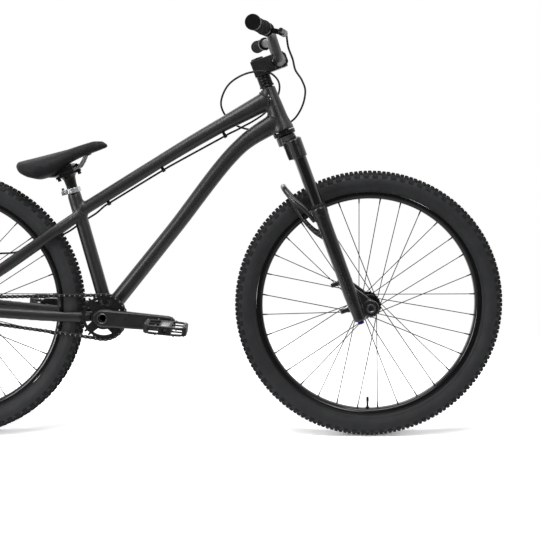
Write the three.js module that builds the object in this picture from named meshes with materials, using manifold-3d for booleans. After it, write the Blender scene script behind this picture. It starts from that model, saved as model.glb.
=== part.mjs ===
// A 26 inch dirt jump bike, in millimetres. +X is forward, +Y is the rider's left, +Z is up,
// and the origin lies on the ground, midway between the wheels.
import * as THREE from 'three';
import { mergeVertices } from 'three/addons/utils/BufferGeometryUtils.js';
import Module from 'manifold-3d';

const wasm = await Module();
wasm.setup();

// Driving dimensions of the whole bike
const wheelBase = 1060;
const wheelRadius = 340;
const headAngle = 69.5;
const seatAngle = 75.1;
const forkRake = 50;
const axleToCrown = 474;
const bracketDrop = 25;
const chainPitch = 12.7;
const chainLinks = 82;
const ringTeeth = 28;
const sprocketTeeth = 12;
const chainLine = 48;
const crankLength = 165;
const crankAngle = -4;

// Running gaps, and how far a cutting shape passes the face it cuts
const gap = 0.35;
const weldGap = 0.3;
const overrun = 3;
const weldDistance = 0.0005;
const simplifyStep = 0.002;

// Facet counts
const roundSides = 14;
const smallSides = 8;
const tubeSides = 10;
const staySides = 8;
const hoseSides = 8;
const hubSides = 12;
const wheelSteps = 28;
const looseSteps = 36;
const fixedSteps = 24;

const tyre = {
  halfWidth: 28.5,
  beadHalf: 14.2,
  height: 54.5,
  widestDrop: 29,
  shoulderDrop: 12,
  shoulderHalf: 26.5,
  treadHalf: 13,
  liningDrop: 19,
  liningHalf: 20,
  knobHeight: 4,
};
const rim = {
  halfWidth: 15,
  sideDepth: 10.5,
  bedDepth: 16,
  bedHalf: 7,
  wellDepth: 6.5,
};
const rimOuter = wheelRadius - tyre.height;
const rimSide = rimOuter - rim.sideDepth;
const rimBed = rimOuter - rim.bedDepth;
const rimWell = rimOuter - rim.wellDepth;
const valve = { radius: 3, length: 30 };
const spoke = { radius: 1.1, count: 32, crossings: 3, rimHalf: 4.2, sides: 3, holeInset: 4.5, rise: 0.9 };
const frontHub = {
  spacing: 110,
  axleRadius: 10,
  endRadius: 15,
  waistRadius: 17,
  flangeRadius: 28,
  flangeThickness: 4,
  flangeRight: 28,
  flangeLeft: 28,
};
const rearHub = {
  spacing: 135,
  axleRadius: 6,
  endRadius: 12,
  waistRadius: 17,
  flangeRadius: 28,
  flangeThickness: 4,
  flangeRight: 24,
  flangeLeft: 33,
  driverRadius: 16,
};
const rotor = {
  radius: 80,
  innerRadius: 67,
  hubRadius: 22,
  thickness: 1.8,
  offset: 51,
  arms: 5,
  armWidth: 9,
};

const ring = {
  thickness: 2.4,
  rollerRadius: 3.875,
  toothHeight: 3.4,
  tipHalf: 1.3,
  rootHalf: 3,
  rootDrop: 4.25,
};
const chainring = { boreRadius: 17, webRadius: 30, rimRadius: 44, arms: 4, armHalfAngle: 16 };
const chain = {
  innerGap: 3.4,
  plateThickness: 1.5,
  plateHalf: 4.3,
  waistHalf: 3.2,
  rollerRadius: 3.7,
  rollerSides: 3,
};

const crank = {
  bossRadius: 22.5,
  eyeRadius: 18.5,
  spindleRadius: 12,
  armInner: 52,
  bossDepth: 19,
  eyeInner: 68,
  eyeDepth: 14,
  spindleBore: 8,
  capDepth: 3,
};
const pedal = {
  length: 104,
  width: 96,
  thickness: 17,
  corner: 16,
  axleRadius: 5.5,
  housingRadius: 10,
  railWidth: 11,
  inset: 5,
  flangeRadius: 9,
  flangeDepth: 4,
};

const bracket = { shellRadius: 21, shellWidth: 68, boreRadius: 18, cupRadius: 22, cupDepth: 10.5 };
const headTube = {
  length: 116,
  topRadius: 19,
  bottomRadius: 28.5,
  waistRadius: 22.5,
  boreTop: 15.8,
  boreBottom: 20.8,
  waistShare: 0.35,
};
const headset = { lowerHeight: 12, upperHeight: 6, upperRadius: 18.5, lowerRadius: 28 };
const steererTube = { radius: 14.3, bore: 11, raceRadius: 25, raceHeight: 5 };
const seatTube = { radius: 16.2, bore: 13.95, length: 330, offset: 6, boreDepth: 256 };
const seatClamp = {
  height: 11,
  wall: 3.4,
  slotHalf: 1.5,
  earLength: 11,
  earHalf: 8,
  boltRadius: 3,
  boltLength: 24,
};
const topTube = {
  rearHeight: 26.5,
  frontHeight: 46,
  rearWidth: 31,
  frontWidth: 41,
  seatDrop: 62,
  headJoint: 84,
};
const downTube = { bottomHeight: 40, topHeight: 52, width: 40, topWidth: 44, headJoint: 30 };
const chainstay = { height: 25, width: 15, rearHeight: 20, rearWidth: 14, frontOut: 20, rearOut: 69 };
const seatstay = { radius: 8.4, seatDrop: 82, frontOut: 14, rearOut: 71 };
const dropout = {
  thickness: 7,
  height: 34,
  reach: 44,
  tail: 30,
  slotLength: 26,
  mountReach: 92,
  mountWidth: 26,
};
const rearAxle = { headRadius: 10.5, headDepth: 6 };

const fork = {
  legSpacing: 132,
  legOffset: 15,
  legTopRadius: 19,
  legMidRadius: 17.2,
  legBottomRadius: 15,
  legTop: 283,
  legBottom: -20,
  stanchionRadius: 15,
  stanchionBottom: 130,
  boreFloor: 28,
  crownThickness: 30,
  socketRadius: 19,
  socketDrop: 62,
  crownHalf: 24,
  bossRadius: 21,
  bossDepth: 15,
  webThickness: 12,
  archHalfHeight: 8,
  archHalfDepth: 6,
  archRise: 74,
  archBack: 50,
  mountSpacing: 74,
  mountRadius: 7,
  mountReach: 30,
  shoulderDrop: 14,
  capRadius: 12,
  capHeight: 6,
};
const knob = { radius: 8, height: 8, lobes: 6 };
const frontAxle = { headRadius: 12.5, headDepth: 4, hexRadius: 6, hexDepth: 6 };

const cockpit = { spacerHeight: 24, spacerRadius: 17, capHeight: 6, capRadius: 16 };
const stemSize = {
  reach: 50,
  height: 40,
  wall: 4.5,
  clampHeight: 40,
  width: 46,
  faceDepth: 12,
  bodyHalf: 15,
};
const bar = {
  width: 760,
  rise: 62,
  radius: 15.9,
  endRadius: 11.1,
  clampHalf: 36,
  bendStart: 58,
  bendEnd: 165,
  sweep: 34,
  upsweep: 14,
};
const grip = {
  length: 135,
  radius: 15,
  collarRadius: 17,
  collar: 12,
  endRadius: 17.5,
  endWall: 4,
  ribs: 2,
  ribHeight: 1.2,
};
const lever = {
  inboard: 40,
  turnDown: 32,
  clampWidth: 14,
  clampRadius: 16.5,
  forward: 36,
  bodyRadius: 9,
  bodyInner: 36,
  nippleRadius: 4,
  nippleLength: 10,
  pivotRadius: 2.5,
  pivotDrop: 8,
  earThickness: 2.6,
  bladeLength: 78,
  bladeThickness: 8,
  bladeHalf: 4.5,
};
const hose = { radius: 2.5, clearance: 3 };
const clip = { length: 8, half: 5.2, wall: 2, slack: 0.5 };
const caliper = {
  angle: 72,
  width: 30,
  innerRadius: 60,
  outerRadius: 97,
  length: 50,
  corner: 9,
  slotRoof: 82,
  portRadius: 4.5,
  portLength: 14,
};
const pad = { restGap: 0.45, thickness: 2.6, length: 26, innerRadius: 62, outerRadius: 79.5 };

const post = { radius: 13.6, wall: 2.2, length: 250, exposed: 44, neck: 34, tilt: 21 };
const rail = {
  radius: 3.5,
  spread: 22,
  noseSpread: 9,
  straight: 33,
  rise: 22,
  tail: -72,
  nose: 60,
  sides: 8,
  steps: 20,
};
const cradle = {
  half: 27,
  length: 20,
  ear: 33,
  earHalf: 7,
  height: 9,
  bolt: 2.8,
  boltPlace: 27,
  headRadius: 4.6,
  headDepth: 6,
};
const upperClamp = { height: 15, ribs: 3, ribDepth: 2.5 };
const saddle = { length: 235, halfWidth: 66, tail: -114, topHeight: 69, shell: 19, skirt: 0.8, sides: 14 };

const radians = THREE.MathUtils.degToRad;
const V = (x, y, z) => new THREE.Vector3(x, y, z);

const paint = new THREE.MeshStandardMaterial({ color: 0x242425, roughness: 0.55, metalness: 0.2 });
const rubber = new THREE.MeshStandardMaterial({ color: 0x2a2b2c, roughness: 0.9, metalness: 0 });
const anodised = new THREE.MeshStandardMaterial({ color: 0x1b1b1c, roughness: 0.4, metalness: 0.6 });
const gloss = new THREE.MeshStandardMaterial({ color: 0x101011, roughness: 0.2, metalness: 0.4 });
const silver = new THREE.MeshStandardMaterial({ color: 0xc9cacc, roughness: 0.3, metalness: 0.9 });
const steel = new THREE.MeshStandardMaterial({ color: 0x6e6f72, roughness: 0.35, metalness: 0.9 });
const violet = new THREE.MeshStandardMaterial({ color: 0x2b2566, roughness: 0.4, metalness: 0.5 });
const cover = new THREE.MeshStandardMaterial({ color: 0x343435, roughness: 0.75, metalness: 0 });
const padLining = new THREE.MeshStandardMaterial({ color: 0x4a4038, roughness: 0.9, metalness: 0.2 });

// Merges shared corners, drops flat slivers and turns every face outwards
function closed(geometry) {
  const bare = new THREE.BufferGeometry();
  bare.setAttribute('position', geometry.getAttribute('position').clone());
  if (geometry.index) bare.setIndex(geometry.index.clone());
  const merged = mergeVertices(bare, weldDistance);
  const at = merged.getAttribute('position');
  const from = merged.index.array;
  const kept = [];
  let volume = 0;
  for (let i = 0; i < from.length; i += 3) {
    const [a, b, c] = [from[i], from[i + 1], from[i + 2]];
    if (a === b || b === c || c === a) continue;
    kept.push(a, b, c);
    const pa = V().fromBufferAttribute(at, a);
    const pb = V().fromBufferAttribute(at, b);
    const pc = V().fromBufferAttribute(at, c);
    volume += pa.dot(pb.cross(pc));
  }
  if (volume < 0) kept.reverse();
  merged.setIndex(kept);
  return merged;
}

function solidOf(geometry) {
  const shape = closed(geometry);
  const vertProperties = new Float32Array(shape.getAttribute('position').array);
  const triVerts = new Uint32Array(shape.index.array);
  return new wasm.Manifold(new wasm.Mesh({ numProp: 3, vertProperties, triVerts }));
}

function geometryOf(solid) {
  const mesh = solid.simplify(simplifyStep).getMesh();
  const geometry = new THREE.BufferGeometry();
  geometry.setAttribute('position', new THREE.BufferAttribute(new Float32Array(mesh.vertProperties),
    mesh.numProp));
  geometry.setIndex(Array.from(mesh.triVerts));
  return geometry;
}

// The largest body that is left where a cut passes right through a piece
function largest(geometry) {
  const bodies = solidOf(geometry).decompose();
  bodies.sort((a, b) => b.volume() - a.volume());
  return geometryOf(bodies[0]);
}

function join(first, ...others) {
  return geometryOf(others.reduce((sum, other) => sum.add(solidOf(other)), solidOf(first)));
}

function cut(first, ...tools) {
  return geometryOf(tools.reduce((rest, tool) => rest.subtract(solidOf(tool)), solidOf(first)));
}

// Joins rings of equal point counts into one closed skin, with flat ends or as a loop
function loft(rings, loop = false) {
  const count = rings[0].length;
  const positions = rings.flat().flatMap((p) => [p.x, p.y, p.z]);
  const index = [];
  const spans = loop ? rings.length : rings.length - 1;
  for (let i = 0; i < spans; i++) {
    const here = i * count;
    const next = ((i + 1) % rings.length) * count;
    for (let j = 0; j < count; j++) {
      const k = (j + 1) % count;
      index.push(here + j, here + k, next + k, here + j, next + k, next + j);
    }
  }
  if (!loop) {
    const last = (rings.length - 1) * count;
    for (let j = 1; j < count - 1; j++) {
      index.push(0, j + 1, j, last, last + j, last + j + 1);
    }
  }
  const geometry = new THREE.BufferGeometry();
  geometry.setAttribute('position', new THREE.Float32BufferAttribute(positions, 3));
  geometry.setIndex(index);
  return geometry;
}

// Sweeps an oval whose half width and half height change along a curve
function sweep(curve, sizeAt, steps, sides, up = V(0, 0, 1)) {
  const rings = [];
  for (let i = 0; i <= steps; i++) {
    const t = i / steps;
    const centre = curve.getPoint(t);
    const along = curve.getTangent(t);
    const across = V().crossVectors(up, along).normalize();
    const over = V().crossVectors(along, across).normalize();
    const [halfWidth, halfHeight] = sizeAt(t);
    const points = [];
    for (let j = 0; j < sides; j++) {
      const angle = ((j + 0.5) / sides) * Math.PI * 2;
      const point = centre.clone().addScaledVector(across, halfWidth * Math.cos(angle));
      points.push(point.addScaledVector(over, halfHeight * Math.sin(angle)));
    }
    rings.push(points);
  }
  return loft(rings);
}

function smooth(points) {
  return new THREE.CatmullRomCurve3(points, false, 'centripetal');
}

function between(values, t) {
  const place = Math.min(t, 1) * (values.length - 1);
  const low = Math.min(Math.floor(place), values.length - 2);
  return THREE.MathUtils.lerp(values[low], values[low + 1], place - low);
}

// A round tube along a route, with straight flat ends
function tubeAlong(points, radius, sides, steps) {
  const shape = new THREE.Shape();
  for (let j = 0; j < sides; j++) {
    const angle = (j / sides) * Math.PI * 2;
    const [x, y] = [radius * Math.cos(angle), radius * Math.sin(angle)];
    if (j === 0) shape.moveTo(x, y);
    else shape.lineTo(x, y);
  }
  shape.closePath();
  return new THREE.ExtrudeGeometry(shape, { steps, extrudePath: smooth(points), bevelEnabled: false });
}

// A turned piece about the Y axis: each profile point is [radius, place along Y]
function turned(profile, sides) {
  return new THREE.LatheGeometry(
    profile.map(([radius, place]) => new THREE.Vector2(radius, place)),
    sides,
  );
}

function turnedUp(profile, sides) {
  return turned(profile, sides).rotateX(Math.PI / 2);
}

function ringProfile(inner, outer, low, high) {
  return [[inner, low], [outer, low], [outer, high], [inner, high], [inner, low]];
}

function rodProfile(radius, low, high) {
  return [[0, low], [radius, low], [radius, high], [0, high]];
}

// A straight rod from one point to another
function rod(from, to, radius, sides) {
  const along = to.clone().sub(from).normalize();
  const side = Math.abs(along.y) > 0.9 ? V(1, 0, 0) : V(0, 1, 0);
  const across = V().crossVectors(side, along).normalize();
  const over = V().crossVectors(along, across);
  const ringAt = (centre) => Array.from({ length: sides }, (_, j) => {
    const angle = ((j + 0.5) / sides) * Math.PI * 2;
    const point = centre.clone().addScaledVector(across, radius * Math.cos(angle));
    return point.addScaledVector(over, radius * Math.sin(angle));
  });
  return loft([ringAt(from), ringAt(to)]);
}

// A rod through points that lie in one plane, mitred at its bends
function bentRod(points, radius, sides) {
  const last = points.length - 1;
  const first = points[1].clone().sub(points[0]);
  const across = first.cross(points[last].clone().sub(points[last - 1])).normalize();
  const rings = points.map((point, i) => {
    const before = points[Math.max(i - 1, 0)];
    const next = points[Math.min(i + 1, last)];
    const along = next.clone().sub(before).normalize();
    const over = V().crossVectors(along, across);
    return Array.from({ length: sides }, (_, j) => {
      const angle = ((j + 0.5) / sides) * Math.PI * 2;
      const corner = point.clone().addScaledVector(across, radius * Math.cos(angle));
      return corner.addScaledVector(over, radius * Math.sin(angle));
    });
  });
  return loft(rings);
}

// Points on an arc, both ends included
function arcPoints(radius, start, end, steps) {
  return Array.from({ length: steps + 1 }, (_, i) => {
    const angle = THREE.MathUtils.lerp(start, end, i / steps);
    return [radius * Math.cos(angle), radius * Math.sin(angle)];
  });
}

function circlePoints(radius, steps) {
  return arcPoints(radius, 0, Math.PI * 2, steps).slice(0, -1);
}

// A flat plate: an outline in X and Z, from one Y to another
function plate(shape, low, high, curveSegments = 6) {
  const geometry = new THREE.ExtrudeGeometry(shape, { depth: high - low, bevelEnabled: false,
    curveSegments });
  return geometry.rotateX(Math.PI / 2).translate(0, high, 0);
}

function block(width, depth, height) {
  return new THREE.BoxGeometry(width, depth, height);
}

function outline(points) {
  return new THREE.Shape(points.map(([x, z]) => new THREE.Vector2(x, z)));
}

// The bore that keeps the running gap to a shaft whose facets lie differently
function boreFor(radius, sides) {
  return (radius + gap) / Math.cos(Math.PI / sides);
}

const bike = new THREE.Group();

function add(group, name, geometry, material) {
  const mesh = new THREE.Mesh(closed(geometry), material);
  mesh.name = name;
  group.add(mesh);
  return mesh;
}

function addMirrored(group, name, geometry, material) {
  add(group, name, geometry, material).scale.y = -1;
}

function groupAt(parent, x, y, z, tilt = 0) {
  const group = new THREE.Group();
  group.position.set(x, y, z);
  group.rotation.y = tilt;
  parent.add(group);
  group.updateMatrixWorld(true);
  return group;
}

function inWorld(geometry, group) {
  return geometry.clone().applyMatrix4(group.matrixWorld);
}

// Main places, worked out from the driving dimensions
const ringRadius = chainPitch / 2 / Math.sin(Math.PI / ringTeeth);
const sprocketRadius = chainPitch / 2 / Math.sin(Math.PI / sprocketTeeth);

// The chain stay length at which a whole number of links closes round both wheels
function chainCentres() {
  let low = ringRadius + sprocketRadius;
  let high = chainLinks * chainPitch;
  for (let i = 0; i < 60; i++) {
    const centres = (low + high) / 2;
    if (chainCount(centres) > chainLinks) high = centres;
    else low = centres;
  }
  return (low + high) / 2;
}

function chainLean(centres) {
  return Math.asin((ringRadius - sprocketRadius) / centres);
}

function chainCount(centres) {
  const lean = chainLean(centres);
  const straight = Math.cos(lean) * centres;
  const ringShare = 0.5 + lean / Math.PI;
  return (2 * straight) / chainPitch + ringTeeth * ringShare + sprocketTeeth * (1 - ringShare);
}

const chainStayLength = chainCentres();
const rearCentre = V(-wheelBase / 2, 0, wheelRadius);
const frontCentre = V(wheelBase / 2, 0, wheelRadius);
const bracketCentre = V(
  rearCentre.x + Math.sqrt(chainStayLength ** 2 - bracketDrop ** 2),
  0,
  wheelRadius - bracketDrop,
);
const headLean = radians(90 - headAngle);
const seatLean = radians(90 - seatAngle);
const steerUp = V(-Math.sin(headLean), 0, Math.cos(headLean));
const steerForward = V(Math.cos(headLean), 0, Math.sin(headLean));
const steerFoot = frontCentre.clone().addScaledVector(steerForward, -forkRake);

// Groups: the steering group's Z is the steering axis, its X the rake direction
const steering = groupAt(bike, steerFoot.x, 0, steerFoot.z, -headLean);
const seatGroup = groupAt(bike, bracketCentre.x + seatTube.offset, 0, bracketCentre.z, -seatLean);
const rearAxleGroup = groupAt(bike, rearCentre.x, 0, rearCentre.z);
const frontAxleGroup = groupAt(bike, frontCentre.x, 0, frontCentre.z);
const bracketGroup = groupAt(bike, bracketCentre.x, 0, bracketCentre.z);

const headBottom = axleToCrown + headset.lowerHeight;
const headTop = headBottom + headTube.length;

function steerPoint(forward, left, up) {
  return steerFoot.clone().addScaledVector(steerForward, forward).addScaledVector(steerUp, up).setY(left);
}

function seatPoint(forward, left, up) {
  return V(forward, left, up).applyMatrix4(seatGroup.matrixWorld);
}

// Wheels

function tyreShape() {
  const rings = [];
  const flankShare = tyre.beadHalf / rim.halfWidth;
  const bead = THREE.MathUtils.lerp(rimWell, rimOuter, flankShare) + gap;
  const steps = wheelSteps * 2;
  for (let i = 0; i < steps; i++) {
    const angle = (i / steps) * Math.PI * 2 - Math.PI / 2;
    const middle = i % 2 === 0 ? 0 : tyre.knobHeight;
    const edge = tyre.knobHeight - middle;
    const section = [
      [bead, -tyre.beadHalf],
      [wheelRadius - tyre.widestDrop, -tyre.halfWidth],
      [wheelRadius - tyre.shoulderDrop - edge, -tyre.shoulderHalf],
      [wheelRadius - middle, -tyre.treadHalf],
      [wheelRadius - middle, tyre.treadHalf],
      [wheelRadius - tyre.shoulderDrop - edge, tyre.shoulderHalf],
      [wheelRadius - tyre.widestDrop, tyre.halfWidth],
      [bead, tyre.beadHalf],
      [wheelRadius - tyre.liningDrop, tyre.liningHalf],
      [wheelRadius - tyre.liningDrop, -tyre.liningHalf],
    ];
    rings.push(section.map(([radius, y]) => V(radius * Math.cos(angle), y, radius * Math.sin(angle))));
  }
  return loft(rings, true);
}

function rimShape() {
  const profile = [
    [rimWell, 0],
    [rimOuter, -rim.halfWidth],
    [rimSide, -rim.halfWidth],
    [rimBed, -rim.bedHalf],
    [rimBed, rim.bedHalf],
    [rimSide, rim.halfWidth],
    [rimOuter, rim.halfWidth],
    [rimWell, 0],
  ];
  const stem = rod(
    V(0, 0, -(rimBed + rimWell) / 2),
    V(0, 0, -rimBed + valve.length),
    valve.radius,
    smallSides,
  );
  return join(turned(profile, wheelSteps), stem);
}

// Spokes leave the flange alternately forwards and backwards, three crossings each
function spokes(hub) {
  const rods = [];
  const perSide = spoke.count / 2;
  const step = (Math.PI * 2) / perSide;
  const crossAngle = (spoke.crossings * Math.PI * 4) / spoke.count;
  const holeRadius = hub.flangeRadius - spoke.holeInset;
  const rimEnd = rimBed * Math.cos(Math.PI / wheelSteps) - gap;
  for (const side of [-1, 1]) {
    const flange = side < 0 ? hub.flangeRight : hub.flangeLeft;
    for (let k = 0; k < perSide; k++) {
      const turn = k % 2 === 0 ? 1 : -1;
      const holeAngle = (k + side / 4) * step - Math.PI / 2;
      const rimAngle = holeAngle + turn * crossAngle;
      const off = turn * (hub.flangeThickness / 2 + spoke.radius + spoke.rise);
      const at = (radius, angle, y) => V(radius * Math.cos(angle), y, radius * Math.sin(angle));
      const root = at(holeRadius, holeAngle, side * flange);
      const elbow = at(holeRadius, holeAngle, side * (flange + off));
      const end = at(rimEnd, rimAngle, side * (spoke.rimHalf + off / 2));
      rods.push(bentRod([root, elbow, end], spoke.radius, spoke.sides));
    }
  }
  return rods;
}

function hubShell(hub, endRight, endLeft, boss) {
  const bore = hub.axleRadius + gap;
  const thick = hub.flangeThickness / 2;
  return turned([
    [bore, -endRight],
    [hub.endRadius, -endRight],
    [hub.endRadius, -hub.flangeRight - thick],
    [hub.flangeRadius, -hub.flangeRight - thick],
    [hub.flangeRadius, -hub.flangeRight + thick],
    [hub.waistRadius, -hub.flangeRight + thick * 3],
    [hub.waistRadius, hub.flangeLeft - thick * 3],
    [hub.flangeRadius, hub.flangeLeft - thick],
    [hub.flangeRadius, hub.flangeLeft + thick],
    [boss.radius, hub.flangeLeft + thick],
    [boss.radius, boss.end],
    [hub.endRadius, boss.end],
    [hub.endRadius, endLeft],
    [bore, endLeft],
    [bore, -endRight],
  ], hubSides);
}

function frontWheel() {
  add(frontAxleGroup, 'front_tyre', tyreShape(), rubber);
  add(frontAxleGroup, 'front_rim', rimShape(), gloss);
  const end = frontHub.spacing / 2 - gap;
  const boss = { radius: frontHub.endRadius, end: frontHub.flangeLeft + frontHub.flangeThickness };
  add(frontAxleGroup, 'front_hub', join(hubShell(frontHub, end, end, boss), ...spokes(frontHub)), anodised);
}

function rotorShape() {
  const shape = outline(circlePoints(rotor.radius, wheelSteps));
  shape.holes.push(outline(circlePoints(boreFor(rearHub.endRadius, roundSides), roundSides)));
  const span = (Math.PI * 2) / rotor.arms;
  const inner = rotor.hubRadius + rotor.armWidth / 2;
  const outerTurn = Math.asin(rotor.armWidth / 2 / rotor.innerRadius);
  const innerTurn = Math.asin(rotor.armWidth / 2 / inner);
  for (let i = 0; i < rotor.arms; i++) {
    const start = i * span;
    shape.holes.push(outline([
      ...arcPoints(rotor.innerRadius, start + outerTurn, start + span - outerTurn, 3),
      ...arcPoints(inner, start + span - innerTurn, start + innerTurn, 1),
    ]));
  }
  return plate(shape, rotor.offset - rotor.thickness / 2, rotor.offset + rotor.thickness / 2);
}

function rearWheel() {
  add(rearAxleGroup, 'rear_tyre', tyreShape(), rubber);
  add(rearAxleGroup, 'rear_rim', rimShape(), gloss);
  const endLeft = rearHub.spacing / 2 - gap;
  const endRight = chainLine - rearHub.flangeThickness;
  const boss = { radius: rotor.hubRadius, end: rotor.offset - rotor.thickness / 2 - gap };
  add(rearAxleGroup, 'rear_hub', join(hubShell(rearHub, endRight, endLeft, boss), ...spokes(rearHub)),
    anodised);
  add(rearAxleGroup, 'brake_rotor', rotorShape(), steel);
}

// Chain wheels: teeth stand between the rollers
function toothed(teeth, pitchRadius, phase) {
  const points = [];
  const root = pitchRadius - ring.rootDrop;
  const tip = pitchRadius + ring.toothHeight;
  for (let i = 0; i < teeth; i++) {
    const middle = phase + ((i + 0.5) / teeth) * Math.PI * 2;
    const rootTurn = ring.rootHalf / root;
    const tipTurn = ring.tipHalf / tip;
    for (const [radius, turn] of [[root, -rootTurn], [tip, -tipTurn], [tip, tipTurn], [root, rootTurn]]) {
      points.push([radius * Math.cos(middle + turn), radius * Math.sin(middle + turn)]);
    }
  }
  return outline(points);
}

// The pins lie a whole pitch apart along two runs and two arcs
function chainPins() {
  const lean = chainLean(chainStayLength);
  const straight = (Math.cos(lean) * chainStayLength) / chainPitch;
  const down = rearCentre.clone().sub(bracketCentre);
  const base = Math.atan2(down.z, down.x);
  const topTurn = base - Math.PI / 2 - lean;
  const ringArc = ringTeeth * (0.5 + lean / Math.PI);
  const arcs = [
    { centre: bracketCentre, radius: ringRadius, teeth: ringTeeth },
    { centre: rearCentre, radius: sprocketRadius, teeth: sprocketTeeth },
  ];
  const on = (arc, angle) => V(arc.radius * Math.cos(angle), 0,
    arc.radius * Math.sin(angle)).add(arc.centre);
  const lowTurn = topTurn - (ringArc / ringTeeth) * Math.PI * 2;
  const pins = [];
  for (let i = 0; i < chainLinks; i++) {
    let s = i;
    if (s < ringArc) {
      pins.push(on(arcs[0], topTurn - (s / ringTeeth) * Math.PI * 2));
      continue;
    }
    s -= ringArc;
    if (s < straight) {
      pins.push(on(arcs[0], lowTurn).lerp(on(arcs[1], lowTurn), s / straight));
      continue;
    }
    s -= straight;
    const sprocketArc = chainLinks - ringArc - 2 * straight;
    if (s < sprocketArc) {
      pins.push(on(arcs[1], lowTurn - (s / sprocketTeeth) * Math.PI * 2));
      continue;
    }
    s -= sprocketArc;
    pins.push(on(arcs[1], topTurn).lerp(on(arcs[0], topTurn), s / straight));
  }
  const sprocketPin = Math.ceil(ringArc + straight);
  const sprocketPhase = lowTurn - ((sprocketPin - ringArc - straight) / sprocketTeeth) * Math.PI * 2;
  return { pins, ringPhase: topTurn, sprocketPhase };
}

const chainPath = chainPins();

// Two scalloped bands of link plates, held apart by a roller at each pin
function chainShape() {
  const { pins } = chainPath;
  const middle = bracketCentre.clone().add(rearCentre).multiplyScalar(0.5);
  const band = (low, high, scalloped) => {
    const outer = [];
    const inner = [];
    pins.forEach((pin, i) => {
      const before = pins[(i + chainLinks - 1) % chainLinks];
      const next = pins[(i + 1) % chainLinks];
      const along = next.clone().sub(before).normalize();
      const out = V(-along.z, 0, along.x);
      if (out.dot(pin.clone().sub(middle)) < 0) out.negate();
      const half = pin.clone().lerp(next, 0.5);
      const run = next.clone().sub(pin).normalize();
      const away = V(-run.z, 0, run.x);
      if (away.dot(out) < 0) away.negate();
      outer.push(pin.clone().addScaledVector(out, chain.plateHalf));
      inner.push(pin.clone().addScaledVector(out, -chain.plateHalf));
      if (!scalloped) return;
      outer.push(half.clone().addScaledVector(away, chain.waistHalf));
      inner.push(half.clone().addScaledVector(away, -chain.waistHalf));
    });
    const rings = outer.map((point, i) => [
      point.clone().setY(low),
      point.clone().setY(high),
      inner[i].clone().setY(high),
      inner[i].clone().setY(low),
    ]);
    return loft(rings, true);
  };
  const near = -chainLine - chain.innerGap;
  const far = -chainLine + chain.innerGap;
  const bands = [band(near - chain.plateThickness, near, true),
    band(far, far + chain.plateThickness, false)];
  const bite = chain.plateThickness / 4;
  const rollers = pins.map((pin) =>
    rod(pin.clone().setY(near - bite), pin.clone().setY(far + bite), chain.rollerRadius,
      chain.rollerSides));
  return join(bands[0], bands[1], ...rollers);
}

function chainringShape() {
  const shape = toothed(ringTeeth, ringRadius, chainPath.ringPhase);
  shape.holes.push(outline(circlePoints(chainring.boreRadius, roundSides)));
  const span = (Math.PI * 2) / chainring.arms;
  const half = radians(chainring.armHalfAngle);
  for (let i = 0; i < chainring.arms; i++) {
    const start = radians(crankAngle) + (i + 0.5) * span;
    shape.holes.push(outline([
      ...arcPoints(chainring.rimRadius, start + half / 2, start + span - half / 2, 4),
      ...arcPoints(chainring.webRadius, start + span - half, start + half, 2),
    ]));
  }
  return plate(shape, -chainLine - ring.thickness / 2, -chainLine + ring.thickness / 2);
}

function sprocketShape() {
  const shape = toothed(sprocketTeeth, sprocketRadius, chainPath.sprocketPhase);
  const teeth = plate(shape, -chainLine - ring.thickness / 2, -chainLine + ring.thickness / 2);
  const end = rearHub.spacing / 2 - gap;
  const start = chainLine - rearHub.flangeThickness + gap;
  const driver = turned(rodProfile(rearHub.driverRadius, -end, -start), roundSides);
  const bore = turned(rodProfile(rearHub.axleRadius + gap, -end - overrun, overrun), roundSides);
  return cut(join(teeth, driver), bore);
}

// Crank arm along +X, its boss on the spindle at the origin and its eye at the crank's length
function crankArm() {
  const c = crank;
  const lean = c.eyeInner - c.armInner;
  const boss = { r: c.bossRadius, inner: c.armInner, outer: c.armInner + c.bossDepth };
  const eye = { r: c.eyeRadius, inner: c.eyeInner, outer: c.eyeInner + c.eyeDepth };
  const neckInner = c.armInner + lean / 2;
  const stations = [];
  const endShares = [1, 0.87, 0.5, 0];
  const place = (x, half, end) => stations.push({ x, half, inner: end.inner, outer: end.outer });
  for (const share of endShares) place(-boss.r * share, boss.r * Math.sqrt(1 - (share * 0.94) ** 2), boss);
  place(boss.r * 0.9, boss.r * 0.97, boss);
  place(crankLength * 0.45, boss.r * 0.93, { inner: neckInner, outer: boss.outer + lean / 4 });
  place(crankLength - eye.r, eye.r * 1.05, eye);
  for (const share of endShares.slice().reverse()) {
    place(crankLength + eye.r * share, eye.r * Math.sqrt(1 - (share * 0.94) ** 2), eye);
  }
  return loft(stations.map(({ x, half, inner, outer }) => {
    const bevel = Math.min((outer - inner) / 4, half / 2);
    return [
      V(x, -outer, half - bevel), V(x, bevel - outer, half), V(x, -inner, half),
      V(x, -inner, -half), V(x, bevel - outer, -half), V(x, -outer, bevel - half),
    ];
  }));
}

function pedalHole() {
  const end = crank.eyeInner + crank.eyeDepth + overrun;
  const hole = turned(rodProfile(pedal.axleRadius + gap, -end, -crank.eyeInner + overrun), smallSides);
  return hole.translate(crankLength, 0, 0);
}

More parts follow.
